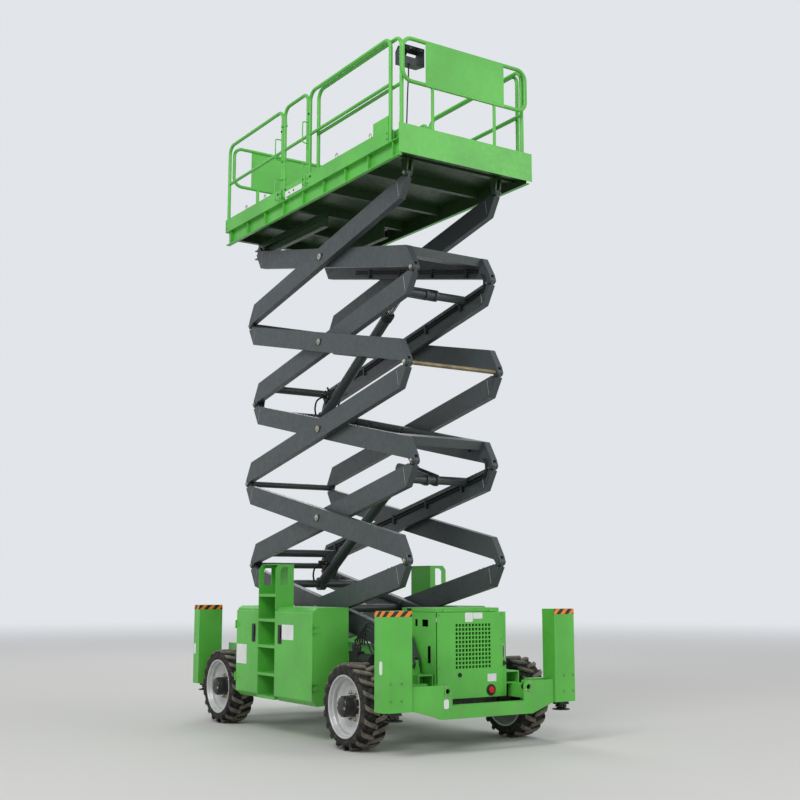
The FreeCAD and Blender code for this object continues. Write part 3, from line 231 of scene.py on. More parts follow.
class Look:
    """A material's node tree, with short names for the nodes that the finishes share."""

    def __init__(self, name, rough=0.5, metal=0.0, spec=0.5, coat=0.0):
        self.mat = bpy.data.materials.new(name)
        self.mat.use_nodes = True
        self.nodes = self.mat.node_tree.nodes
        self.links = self.mat.node_tree.links
        self.shader = self.nodes["Principled BSDF"]
        for key, value in (("Roughness", rough), ("Metallic", metal), ("Specular IOR Level", spec),
                ("Coat Weight", coat)):
            self.shader.inputs[key].default_value = value
        self.coords = self.nodes.new("ShaderNodeTexCoord").outputs["Object"]

    def node(self, kind, **sockets):
        """New node with numbers or links on the named sockets; an underscore stands for a space."""
        n = self.nodes.new("ShaderNode" + kind)
        for key, value in sockets.items():
            self.feed(n.inputs[key.replace("_", " ")], value)
        return n

    def feed(self, socket, value):
        if isinstance(value, bpy.types.NodeSocket):
            self.links.new(value, socket)
        else:
            socket.default_value = linear(value) if socket.type == "RGBA" else value

    def noise(self, scale, detail=4.0, rough=0.55, stretch=None):
        source = self.coords
        if stretch:
            source = self.node("Mapping", Scale=stretch, Vector=source).outputs["Vector"]
        return self.node("TexNoise", Scale=scale, Detail=detail, Roughness=rough,
            Vector=source).outputs["Fac"]

    def span(self, value, low, high, out_low=0.0, out_high=1.0):
        n = self.node("MapRange", Value=value, From_Min=low, From_Max=high, To_Min=out_low,
            To_Max=out_high)
        n.interpolation_type = "SMOOTHSTEP"
        return n.outputs["Result"]

    def math(self, kind, a, b=0.0):
        n = self.node("Math")
        n.operation = kind
        self.feed(n.inputs[0], a)
        self.feed(n.inputs[1], b)
        return n.outputs["Value"]

    def axis(self, which):
        return self.node("SeparateXYZ", Vector=self.coords).outputs[which]

    def mix(self, factor, a, b):
        n = self.node("Mix")
        n.data_type = "RGBA"
        for key, value in (("Factor", factor), ("A", a), ("B", b)):
            self.feed(n.inputs[key], value)
        return n.outputs["Result"]

    def colour(self, value):
        self.feed(self.shader.inputs["Base Color"], value)

    def roughness(self, value):
        self.links.new(value, self.shader.inputs["Roughness"])

    def bump(self, value, strength, distance):
        n = self.node("Bump", Strength=strength, Distance=distance, Height=value)
        socket = self.shader.inputs["Normal"]
        if socket.is_linked:
            self.links.new(socket.links[0].from_socket, n.inputs["Normal"])
        self.links.new(n.outputs["Normal"], socket)


def shade(rgb, factor):
    return tuple(min(255.0, c * factor) for c in rgb)


# Painted shade, with some oily grime, darkens the platform's frame below the floor and within this half
# width, in metres
FRAME_HALF_WIDTH = 0.8045
FLOOR_UNDERSIDE = 6.0185


def painted(name, rgb, rough=0.42, dust=0.35, dust_top=1.1, streak=0.35, shade_under_floor=False):
    """Powder-coated sheet: faint mottling, orange peel, and dust that thins out with height."""
    k = Look(name, rough=rough, spec=0.45, coat=0.12)
    k.shader.inputs["Coat Roughness"].default_value = 0.25
    patch = k.span(k.noise(1.7, 3.0), 0.3, 0.7)
    body = k.mix(patch, shade(rgb, 0.95), shade(rgb, 1.04))
    low = k.span(k.axis("Z"), 0.0, dust_top, 1.0, 0.0)
    grime = k.math("MULTIPLY", low, k.span(k.noise(9.0, 7.0, 0.7, (1.0, 1.0, streak)), 0.42, 0.75))
    grime = k.math("MULTIPLY", grime, dust)
    coat = k.mix(grime, body, DUST)
    k.colour(coat)
    k.roughness(k.span(k.noise(22.0, 5.0), 0.3, 0.75, rough - 0.06, rough + 0.12))
    k.bump(k.noise(420.0, 2.0), 0.06, 0.0006)
    k.bump(k.noise(5.0, 2.0), 0.04, 0.004)
    # Painted shade, with some oily grime: below the floor and within the half width the frame is coloured
    # dark green
    if shade_under_floor:
        inside = k.math("LESS_THAN", k.math("ABSOLUTE", k.axis("Y")), FRAME_HALF_WIDTH)
        inside = k.math("MULTIPLY", inside, k.math("LESS_THAN", k.axis("Z"), FLOOR_UNDERSIDE))
        k.colour(k.mix(inside, coat, GREEN_UNDER_SHADE))
    return k.mat


def steel(name, rgb, rough=0.4, metal=0.9, grain=0.1, vary=0.12):
    k = Look(name, rough=rough, metal=metal)
    k.colour(k.mix(k.span(k.noise(14.0, 5.0), 0.3, 0.7), shade(rgb, 1 - 1.5 * vary),
        shade(rgb, 1 + vary / 2)))
    k.roughness(k.span(k.noise(60.0, 4.0), 0.3, 0.7, rough - 0.08, rough + 0.12))
    k.bump(k.noise(260.0, 3.0), grain, 0.0006)
    return k.mat


def rubber(name, rgb, dusty=0.5):
    """Black in the grooves, beige dust on the tops of the lugs and a film of it on the sidewalls."""
    k = Look(name, rough=0.78, spec=0.3)
    ahead = k.math("SUBTRACT", k.math("ABSOLUTE", k.axis("X")), AXLE_X * MM)
    up = k.math("SUBTRACT", k.axis("Z"), TYRE_R * MM)
    radius = k.math("SQRT", k.math("ADD", k.math("MULTIPLY", ahead, ahead), k.math("MULTIPLY", up, up)))
    streak = k.span(k.noise(13.0, 7.0, 0.66), 0.30, 0.66, 0.35, 1.0)
    top = k.math("MULTIPLY", k.span(radius, 0.386, 0.402), streak)
    film = k.math("MULTIPLY", k.span(k.noise(24.0, 7.0, 0.68), 0.42, 0.72), dusty)
    side = k.mix(film, rgb, shade(DUST, 0.8))
    k.colour(k.mix(top, side, DUST))
    k.roughness(k.span(k.noise(40.0, 4.0), 0.3, 0.7, 0.68, 0.9))
    k.bump(k.noise(180.0, 5.0), 0.2, 0.001)
    return k.mat


def plastic(name, rgb, rough=0.5, grain=0.12, vary=0.09):
    k = Look(name, rough=rough, spec=0.4)
    k.colour(k.mix(k.span(k.noise(11.0, 5.0), 0.35, 0.7), shade(rgb, 1 - vary), shade(rgb, 1 + vary)))
    k.roughness(k.span(k.noise(35.0, 3.0), 0.3, 0.7, rough - 0.05, rough + 0.1))
    k.bump(k.noise(700.0, 2.0), grain, 0.0004)
    return k.mat


def striped(name, pitch):
    """Orange and black tape, its stripes at 45 degrees."""
    k = Look(name, rough=0.45)
    run = k.math("SUBTRACT", k.math("ADD", k.axis("X"), k.axis("Y")), k.axis("Z"))
    wave = k.math("FRACT", k.math("DIVIDE", run, pitch))
    dark = k.math("GREATER_THAN", wave, 0.5)
    scuffed = k.mix(k.span(k.noise(70.0, 5.0), 0.45, 0.75), TAPE_ORANGE, shade(TAPE_ORANGE, 0.86))
    k.colour(k.mix(dark, scuffed, (24, 22, 20)))
    k.bump(k.noise(300.0, 2.0), 0.05, 0.0004)
    return k.mat


green = painted("green_paint", GREEN)
# Green with painted shade, and some oily grime, under the platform's floor
deck_green_shaded = painted("deck_green_shaded", GREEN, shade_under_floor=True)
arm_paint = painted("arm_paint", (58, 65, 66), rough=0.46, dust=0.07, dust_top=7.0, streak=1.0)
black_paint = painted("black_paint", (26, 27, 28), rough=0.5, dust=0.3)
tyre_rubber = rubber("tyre_rubber", (32, 31, 31))
rim_silver = steel("rim_silver", (196, 197, 194), rough=0.36, metal=0.4, grain=0.02, vary=0.035)
hub_black = painted("hub_black", (20, 20, 21), rough=0.35, dust=0.2)
chrome = steel("chrome_rod", (205, 208, 210), rough=0.16, metal=1.0, grain=0.02)
zinc = steel("zinc", (186, 182, 168), rough=0.42, metal=0.75)
bronze = steel("bronze", (138, 124, 96), rough=0.45, metal=0.6)
box_grey = plastic("box_grey", (62, 66, 70))
cable_black = plastic("cable_black", (22, 22, 23), rough=0.55)
label_white = plastic("label_white", (226, 228, 224), rough=0.4, grain=0.02, vary=0.02)
stop_red = plastic("stop_red", (196, 34, 22), rough=0.3, grain=0.02)
engine_grey = painted("engine_grey", (52, 54, 56), rough=0.55, dust=0.3)
tape = striped("hazard_tape", 0.105)
weld = painted("weld_bead", (150, 156, 158), rough=0.55, dust=0.1)
green_bolt = painted("green_bolt", shade(GREEN, 0.9), rough=0.4, dust=0.2)
black_plastic = plastic("black_plastic", (24, 25, 26), rough=0.45)
shadow_gap = plastic("shadow_gap", (12, 13, 12), rough=0.8)
radiator_grey = steel("radiator_grey", (70, 72, 72), rough=0.6, metal=0.6)

# Materials in each slot of the record; the CAD's own nodes take the first one
FINISHES = {
    "green_paint": (green, green_bolt, tape),
    "arm_paint": (arm_paint, weld),
    "tyre": (tyre_rubber,),
    "rim_paint": (rim_silver,),
    "hub_paint": (hub_black,),
    "dark_steel": (black_paint, zinc, bronze, black_plastic, shadow_gap),
    "chrome_rod": (chrome,),
    "grey_box": (box_grey,),
    "cable": (cable_black,),
    "engine_paint": (engine_grey, radiator_grey),
}
SLOT_OF = {finish.name: slot for slot, row in FINISHES.items() for finish in row}


def dress_cad_nodes():
    """Each CAD node takes the first finish of its material slot in the record; the platform's frame takes
    the green with painted shade under its floor.
    """
    for row in frame["record"]["subparts"]:
        data = frame["nodes"][row["node"]].data
        data.materials.clear()
        data.materials.append(deck_green_shaded if row["node"] == "platform_frame"
            else FINISHES[row["material_slot"]][0])


# Wheels
TYRE_OUTER_Y = 1123
TYRE_W = 300
LUGS_PER_SIDE = 19
LUG_H = 34
LUG_SWEEP = 0.27
SIDEWALL = [(293, 125), (300, 138), (318, 145), (330, 146.5), (345, 147), (362, 142), (372, 132),
    (378.5, 105), (379, 60), (379, 0)]


def carcass_point(t):
    """Radius and side distance along the tyre's outside, from its middle line, 0, to the sidewall, 1."""
    line = list(reversed(SIDEWALL[3:]))
    place = t * (len(line) - 1)
    i = min(int(place), len(line) - 2)
    f = place - i
    return tuple(a + (b - a) * f for a, b in zip(line[i], line[i + 1]))


def wheel_place(x, s):
    """Local Z runs outwards along the axle and local X points forwards."""
    out = Vector((0, s, 0))
    ahead = Vector(FORWARDS)
    m = Matrix((ahead, out.cross(ahead), out)).transposed().to_4x4()
    m.translation = Vector((x, s * (TYRE_OUTER_Y - TYRE_W / 2), TYRE_R))
    return m


def lug(shape, place, start, side, turn):
    """Slanted bar from past the middle line over the shoulder; its inner end points down in front."""
    steps = 12
    rows = []
    for i in range(steps + 1):
        t = i / steps
        r, y = carcass_point(max(0, t * 1.05 - 0.05))
        height = LUG_H if t < 0.62 else LUG_H * max(0.12, (1 - (t - 0.62) / 0.38) ** 0.8)
        top_r = min(TYRE_R, r + height)
        top_y = y + (4 if t > 0.55 else 0.0) * (t - 0.55)
        if t == 0:
            y = top_y = -14
        half = 0.5 * (40 + 16 * t)
        angle = start + turn * LUG_SWEEP * (1 - t) ** 1.25
        row = []
        for across, lift in ((-1.25, -0.1), (-1.0, 0.82), (-0.82, 1.0), (0.82, 1.0), (1.0, 0.82),
                (1.25, -0.1)):
            rr = r + (top_r - r) * lift
            yy = y + (top_y - y) * lift
            a = angle + across * half / TYRE_R
            row.append((rr * math.cos(a), rr * math.sin(a), side * yy))
        rows.append(row)
    width = len(rows[0])
    faces = [tuple(range(width)), tuple(reversed(range(steps * width, (steps + 1) * width)))]
    for i in range(steps):
        a, b = i * width, (i + 1) * width
        faces += [(a + j, b + j, b + (j + 1) % width, a + (j + 1) % width) for j in range(width)]
    shape.add([v for row in rows for v in row], faces, place)


def tyre(tag, x, s, body):
    place = wheel_place(x, s)
    carcass = Shape()
    inside = [(293, -125), (286, -118), (286, 118), (293, 125)]
    profile = inside[:2] + inside[2:3] + SIDEWALL + [(r, -y) for r, y in reversed(SIDEWALL[:-1])]
    profile.append(profile[0])
    carcass.lathe(profile, place, 96)
    bmesh.ops.remove_doubles(carcass.bm, verts=carcass.bm.verts, dist=1e-5)
    step = 2 * math.pi / LUGS_PER_SIDE
    for side in SIDES:
        for i in range(LUGS_PER_SIDE):
            lug(carcass, place, (i + (0.5 if side > 0 else 0.0)) * step, side, s)
    obj = carcass.piece("tyre_%s_rubber" % tag, tyre_rubber, body, crease=42)
    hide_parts("tyre_" + tag)


def rim(tag, x, s, body):
    place = wheel_place(x, s)
    shape = Shape()
    profile = [(106, 30), (150, 30), (196, 31), (208, 36), (222, 50), (230, 54), (252, 60), (258, 66),
        (262, 98), (266, 103), (276, 106), (279, 110), (281, 132), (285, 137.5), (293, 140), (299.5, 140),
        (301, 137), (299, 133), (292.5, 126), (286.5, 116), (286, -116), (292.5, -126), (299, -133),
        (301, -137), (299.5, -140), (293, -140), (285, -137.5), (281, -132), (279, -100), (240, -55),
        (226, -10), (206, 14), (196, 19), (106, 18), (106, 30)]
    shape.lathe(profile, place, 96)
    bmesh.ops.remove_doubles(shape.bm, verts=shape.bm.verts, dist=1e-5)
    obj = shape.piece("rim_%s_disc" % tag, rim_silver, body, crease=32)
    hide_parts("rim_" + tag)
    valve = Shape()
    valve.turn([(7, 0), (7, 14), (4.5, 16), (4.5, 34)], place @ at((236, 20, 54), (-0.35, 0, 1)), 12)
    valve.piece("rim_%s_valve" % tag, cable_black, body, slot="tyre")


def hub(tag, x, s, body):
    """Planetary hub: drum with a bolted cover, and the ring of wheel nuts on the disc."""
    place = wheel_place(x, s)
    drum = Shape()
    drum.turn([(150, -100), (150, 14), (105, 16), (105, 60), (101, 64), (98.5, 66), (98.5, 72), (101, 74),
        (101, 138), (97, 146), (88, 150), (88, 160), (83, 166), (60, 168), (56, 171), (30, 172),
        (28, 170)], place, 64)
    for x, y in around(12, 94.5, math.pi / 12):
        hex_head(drum, place @ at((x, y, 148)), 6.5, 7)
    for x, y in around(3, 44, 0.5):
        hex_head(drum, place @ at((x, y, 170)), 8, 6)
    obj = drum.piece("hub_%s_drum" % tag, hub_black, body, crease=32)
    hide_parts("hub_" + tag)
    nuts = Shape()
    for x, y in around(10, 132):
        spot = (x, y, 30.2)
        nuts.turn([(19, 0), (19, 3), (15, 4)], place @ at(spot), 20)
        hex_head(nuts, place @ at((x, y, 34)), 14.5, 16)
        nuts.lathe([(8.5, 0), (8.5, 12), (6.5, 14), (0, 14)], place @ at((x, y, 50)), 12)
    nuts.piece("hub_%s_nuts" % tag, zinc, body)
    plug = Shape()
    plug.turn([(13, 0), (13, 5)], place @ at((66, -12, 168)), 16)
    plug.turn([(13, 0), (13, 5)], place @ at((-66, 12, 168)), 16)
    plug.piece("hub_%s_plugs" % tag, zinc, body)


def hex_head(shape, place, r, height):
    """Hexagon head with a chamfered top."""
    outline = around(6, r)
    shape.prism(outline, 0, height * 0.85, place)
    small = [(x * 0.86, y * 0.86) for x, y in outline]
    verts = [(x, y, height * 0.85) for x, y in outline] + [(x, y, height) for x, y in small]
    faces = [(i, (i + 1) % 6, (i + 1) % 6 + 6, i + 6) for i in range(6)] + [tuple(range(6, 12))]
    shape.add(verts, faces, place)


def wheels():
    for s, side in NAMED_SIDES:
        for x, end in ((AXLE_X, "front"), (-AXLE_X, "rear")):
            tag = end + "_" + side
            body = "wheel_" + tag
            tyre(tag, x, s, body)
            rim(tag, x, s, body)
            hub(tag, x, s, body)


# Small shapes that several pieces share
def facing(point, normal, up=(0, 0, 1)):
    """Frame whose Z axis is the normal and whose Y axis leans to the given way up."""
    n = Vector(normal).normalized()
    x = Vector(up).cross(n).normalized()
    m = Matrix((x, n.cross(x), n)).transposed().to_4x4()
    m.translation = Vector(point)
    return m


def rounded(width, height, radius, steps=5):
    """Outline of a rectangle with round corners."""
    out = []
    for sx, sy, start in ((1, 1, 0), (-1, 1, 90), (-1, -1, 180), (1, -1, 270)):
        for i in range(steps + 1):
            a = math.radians(start + 90 * i / steps)
            x = sx * (width / 2 - radius) + radius * math.cos(a)
            y = sy * (height / 2 - radius) + radius * math.sin(a)
            out.append((x, y))
    return out


def rod(shape, p, q, radius, turns=16):
    p, q = Vector(p), Vector(q)
    shape.lathe([(0, 0), (radius, 0), (radius, (q - p).length), (0, (q - p).length)], at(p, q - p), turns)


def bolt(shape, point, normal, size=8):
    """Hexagon bolt on a round washer."""
    place = at(point, normal)
    shape.turn([(size * 1.45, 0), (size * 1.45, size * 0.2)], place, 16)
    hex_head(shape, place @ Matrix.Translation((0, 0, size * 0.2)), size, size * 0.8)


def blank(shape, centre, normal, width, height, radius=6):
    """Thin label without any print."""
    shape.prism(rounded(width, height, radius), 0, 1.2, facing(centre, normal))


# Scissor: a point of a beam, b along it to its high end and n square to it
ARM_L = 3640
REST = math.radians(15.8)
RISE = ARM_L * math.sin(REST)
FRONT_PIN_X = 1730
LOW_PIN_Z = 814
STAGES = 5
ARM_D = 220
ARM_W = 74
PIN_OFF = 120
BEAM_LEAN = math.asin(2 * PIN_OFF / ARM_L)
BEAM_HALF = ARM_L * math.cos(BEAM_LEAN) / 2
CENTRE_X = FRONT_PIN_X - ARM_L * math.cos(REST) / 2
INNER_Y = 493
OUTER_Y = 575


def stage_z(k):
    return LOW_PIN_Z + RISE * (k + 0.5)


def beam_point(k, to_front, b, n, y):
    """Point on the straight part of a beam of stage k."""
    g = REST - BEAM_LEAN
    x = b * math.cos(g) - n * math.sin(g)
    z = b * math.sin(g) + n * math.cos(g)
    return Vector((CENTRE_X + (x if to_front else -x), y, stage_z(k) + z))


def pin_line(k, to_front, along, rise, y=0):
    """Point by its distance along the line between an arm's end pins and its rise over that line."""
    x = (along - ARM_L / 2) * math.cos(REST) - rise * math.sin(REST)
    z = (along - ARM_L / 2) * math.sin(REST) + rise * math.cos(REST)
    return Vector((CENTRE_X + (x if to_front else -x), y, stage_z(k) + z))


def arms_of(k):
    """Name, direction and Y of both arm frames of a stage."""
    return (("inner_%d" % (k + 1), k % 2 == 1, INNER_Y), ("outer_%d" % (k + 1), k % 2 == 0, OUTER_Y))


def scissor_fasteners():
    """Centre pin plates, nuts on the end pins, weld beads and stop blocks."""
    for k in range(STAGES):
        for body, to_front, y in arms_of(k):
            bright, seams, dark = Shape(), Shape(), Shape()
            for s in SIDES:
                face = s * (y + ARM_W / 2)
                inside = s * (y - ARM_W / 2)
                if body.startswith("inner"):
                    end = s * (OUTER_Y + ARM_W / 2 + 6)
                    spot = beam_point(k, to_front, 0, 0, end)
                    bright.turn([(36, 0), (36, 5), (33, 7)], at(spot, (0, s, 0)), 28)
                    bolt(bright, spot + Vector((0, s * 7, 0)), (0, s, 0), 11)
                    dark.block((-11, -62, 0), (11, 62, 6),
                        facing(beam_point(k, to_front, -4, 0, end - s * 6), (0, s, 0), (1, 0, 0.3)))
                if body != "inner_5":
                    spot = beam_point(k, to_front, BEAM_HALF, PIN_OFF, face + s * 6)
                    bright.turn([(23, 0), (23, 4)], at(spot, (0, s, 0)), 24)
                    hex_head(bright, at(spot + Vector((0, s * 4, 0)), (0, s, 0)), 17.5, 13)
                for side in (face, inside):
                    out = 0.5 if (side == face) == (s > 0) else -0.5
                    line = [beam_point(k, to_front, BEAM_HALF - 158, n, side + out) for n in (-75, 0, 85)]
                    seams.tube(line, 2.8, 6)
                if to_front:
                    for b in (BEAM_HALF - 300, BEAM_HALF - 370):
                        foot = beam_point(k, to_front, b, ARM_D / 2, s * y)
                        up = beam_point(k, to_front, b, ARM_D / 2 + 30, s * y) - foot
                        dark.turn([(12, 0), (12, 8), (6, 10), (6, 17)], at(foot, up), 14)
            bright.piece("pins_" + body, zinc, body)
            seams.piece("welds_" + body, weld, body)
            if to_front or body.startswith("inner"):
                dark.piece("studs_" + body, black_paint, body)


def bronze_rod():
    sleeve = Shape()
    y = OUTER_Y - ARM_W / 2 - 4
    rod(sleeve, beam_point(2, True, BEAM_HALF, PIN_OFF, -y), beam_point(2, True, BEAM_HALF, PIN_OFF, y),
        22.5, 28)
    sleeve.piece("cross_rod_bronze", bronze, "outer_3")


def hoses():
    """Pressure hoses clipped inside the inner arms, with a loop at each node where they pass on."""
    for k in range(STAGES):
        body, to_front, y = arms_of(k)[0]
        for s in SIDES:
            lines, clips = Shape(), Shape()
            edge = s * (y - ARM_W / 2)
            count = 3 if s < 0 else 2
            last = k == STAGES - 1
            drop = 80 if last else 0
            yy = edge - s * 13
            for i in range(count):
                n = 60 - drop - 30 * i
                back = 22 * i
                low = beam_point(k, to_front, -BEAM_HALF + 200, n, yy)
                high = beam_point(k, to_front, 950 if last else BEAM_HALF - 200, n, yy)
                run = [low.lerp(high, t) for t in (0.0, 0.2, 0.4, 0.6, 0.8, 1.0)]
                bend = [beam_point(k, to_front, BEAM_HALF - 70 - back, n + 20, yy),
                    beam_point(k, to_front, BEAM_HALF - 35 - back, PIN_OFF + 20, yy),
                    beam_point(k, to_front, BEAM_HALF - 60 - back, PIN_OFF + 85 + 15 * i, yy)]
                lines.tube(smooth_path(run if last else run + bend, 6), 10.5, 10)
            for t in (0.06, 0.27, 0.48, 0.69) if last else (0.06, 0.27, 0.48, 0.69, 0.9):
                b = -BEAM_HALF + 200 + (2 * BEAM_HALF - 400) * t
                clips.prism([(-16, -52), (16, -52), (16, 52), (-16, 52)], 0, 24.5,
                    facing(beam_point(k, to_front, b, 30 - drop, edge), (0, -s, 0),
                    beam_point(k, to_front, b, 1000, 0) - beam_point(k, to_front, b, 0, 0)))
            tag = body + ("_left" if s < 0 else "_right")
            lines.piece("hoses_" + tag, cable_black, body)
            clips.piece("hose_clips_" + tag, black_paint, body, bevel=3)


PORT_LEAN = math.radians(50)


def lift_cylinders():
    """Gland, ports, hard pipe and valve block of both cylinders."""
    for name, k in (("lower", 0), ("upper", 2)):
        to_front = k % 2 == 1
        base = pin_line(k, to_front, ARM_L - 820, 0)
        eye = pin_line(k + 1, not to_front, 2750, 262)
        way = (eye - base).normalized()
        above = Vector((0, 1, 0)).cross(way).normalized()
        if above.z < 0:
            above = -above
        stop = eye - way * 360
        barrel = Shape()
        barrel.lathe([(60.5, -95), (67, -92), (67, -12), (63, 0), (58, 4), (40, 4), (36, 0)],
            at(stop, way), 40)
        lean = above * math.cos(PORT_LEAN) + Vector((0, math.sin(PORT_LEAN), 0))
        for along in (105, (stop - base).length - 160):
            place = facing(base + way * along, lean, way)
            barrel.block((-26, -26, 45), (26, 26, 88), place)
            barrel.turn([(17, 88), (17, 106), (12, 110)], place, 18)
        barrel.piece("barrel_%s_gland" % name, black_paint, "barrel_" + name, bevel=2)
        pipe = Shape()
        start = base + way * 105 + lean * 100
        end = stop - way * 160 + lean * 100
        run = [start, start + lean * 16, start + way * 60 + lean * 4, start.lerp(end, 0.3) - lean * 28,
            start.lerp(end, 0.7) - lean * 28, end - way * 60 + lean * 4, end + lean * 16, end]
        pipe.tube(smooth_path(run, 8), 7.5, 10)
        pipe.piece("barrel_%s_pipe" % name, zinc, "barrel_" + name)
        block = Shape()
        spot = base + way * 270
        block.block((-50, -75, 52), (50, 75, 150), facing(spot, above, way))
        for j, (u, v) in enumerate(((-20, -45), (20, -10), (-20, 30), (22, 50))):
            place = facing(spot, above, way) @ Matrix.Translation((u, v, 150))
            block.turn([(16, 0), (16, 22), (12, 26), (12, 45 + 20 * (j % 2))], place, 16)
        place = facing(spot, above, way) @ at((50, 20, 100), FORWARDS)
        block.turn([(20, 0), (20, 20), (24, 22), (24, 85), (20, 90)], place, 20)
        block.piece("barrel_%s_valves" % name, black_paint, "barrel_" + name, bevel=2)
        fittings = Shape()
        for u, v in ((45, 60), (-45, 40)):
            place = facing(spot, above, way) @ at((u, v - 20, 75), (1 if u > 0 else -1, 0, 0))
            hex_head(fittings, place, 14, 22)
        fittings.piece("barrel_%s_fittings" % name, zinc, "barrel_" + name)
        feed = Shape()
        top = facing(spot, above, way)
        for s, reach in ((RIGHT, 160), (LEFT, 130)):
            loop = [(55, 20, 75), (115, 20, 75), (155, -60, 85), (145, -reach, 50), (105, -reach - 80, 20)]
            feed.tube(smooth_path([top @ Vector((s * x, y, z)) for x, y, z in loop], 8), 10.5, 10)
        feed.piece("barrel_%s_hoses" % name, cable_black, "barrel_" + name)
        shaft = Shape()
        shaft.lathe([(35.5, 0), (35.5, 2), (47, 6), (47, 18), (35.5, 22)], at(eye - way * 73, way), 32)
        shaft.piece("rod_%s_collar" % name, black_paint, "rod_" + name)


# Outrigger covers and feet
COVER_X = {1: (2040, 2225), -1: (-1872, -2060)}
COVER_Y = (860, 1156)
COVER_CUT = 40
TAPE_Z = (1278, 1330.2)
TAPE_T = 1.2


def covers():
    tapes, bolts, labels = Shape(), Shape(), Shape()
    for e, (x0, x1) in COVER_X.items():
        for s in SIDES:
            t, (low, high) = TAPE_T, COVER_Y
            line = [(x0 - e * t, low), (x0 - e * t, high + t), (x1 - e * COVER_CUT, high + t),
                (x1 + e * t, high - COVER_CUT), (x1 + e * t, low)]
            back = [(x0 + e * t, low), (x0 + e * t, high - t), (x1 - e * (COVER_CUT + t), high - t),
                (x1 - e * t, high - COVER_CUT - t), (x1 - e * t, low)]
            for i in range(4):
                outline = [line[i], line[i + 1], back[i + 1], back[i]]
                tapes.prism([(x, s * y) for x, y in outline], TAPE_Z[0], TAPE_Z[1])
            for y in (975, 1095):
                for z in (520, 675):
                    bolt(bolts, (x1, s * y, z), (e, 0, 0), 8.5)
            blank(labels, (x1 - e * 75, s * COVER_Y[1], 816), (0, s, 0), 52, 125, 24)
    tapes.piece("cover_tape", tape)
    bolts.piece("cover_bolts", green_bolt)
    labels.piece("cover_labels", label_white)


def feet():
    """Yoke and cross pin that let each pad lean."""
    for e, (x0, x1) in COVER_X.items():
        for s in SIDES:
            x, y = (x0 + x1) / 2, s * sum(COVER_Y) / 2
            foot = Shape()
            foot.prism(rounded(124, 124, 14), 384, 396, Matrix.Translation((x, y, 0)))
            for j in SIDES:
                foot.prism([(-34, 355), (34, 355), (34, 372), (22, 388), (-22, 388), (-34, 372)], -5, 5,
                    Matrix(((0, 0, 1, x + j * 43), (1, 0, 0, y), (0, 1, 0, 0), (0, 0, 0, 1))))
            rod(foot, (x - 58, y, 368), (x + 58, y, 368), 11, 18)
            foot.lathe([(83, 330), (88, 331), (90, 335), (88, 339), (81, 341)],
                Matrix.Translation((x, y, 0)), 40)
            tag = ("front" if e > 0 else "rear") + ("_left" if s < 0 else "_right")
            foot.piece("foot_yoke_" + tag, black_paint, "leg_" + tag, bevel=1.5)


# Side boxes
DOOR_Y = 1120
LATCHES = {"rear": -505, "front": 104}
BOX_LABELS = {"rear": (-798, 811, 247, 211), "front": (277, 1078, 256, 155)}


def doors():
    for s, side in NAMED_SIDES:
        for end in ("front", "rear"):
            body = "%s_door_%s" % (end, side)
            x = LATCHES[end]
            latch = Shape()
            place = facing((x, s * DOOR_Y, 1050), (0, s, 0))
            latch.prism(rounded(86, 198, 12), 0, 3.5, place)
            latch.prism(rounded(50, 120, 8), 3.5, 12, place @ Matrix.Translation((0, 18, 0)))
            latch.turn([(15, 3.5), (15, 8), (12, 9)], place @ Matrix.Translation((0, -66, 0)), 20)
            latch.piece("latch_%s_%s" % (end, side), black_plastic, body, bevel=1.5)
            sign = Shape()
            cx, cz, w, h = BOX_LABELS[end]
            blank(sign, (cx, s * DOOR_Y, cz), (0, s, 0), w, h, 10)
            sign.piece("door_label_%s_%s" % (end, side), label_white, body)


def ladders():
    """Raised grip rings on the steps, and the ladders' bolts."""
    for s, side in NAMED_SIDES:
        grips, bolts = Shape(), Shape()
        for z in (396, 636, 930, 1207, 1472):
            for i in range(7):
                for j in range(4):
                    spot = (-205 + (i - 3) * 47, s * (1085 - j * 45), z)
                    grips.lathe([(13, 0), (15, 1.2), (13, 2.8), (9.5, 2.8), (8, 0)], at(spot), 12)
        for z in (460, 750, 1050, 1300):
            for x in (-370, -40):
                bolt(bolts, (x, s * 906, z), (0, s, 0), 7)
        grips.piece("step_grips_" + side, green)
        bolts.piece("step_bolts_" + side, zinc)


# Engine box
FACE_X = 2000
STOP_AT = (FACE_X, 225, 551)


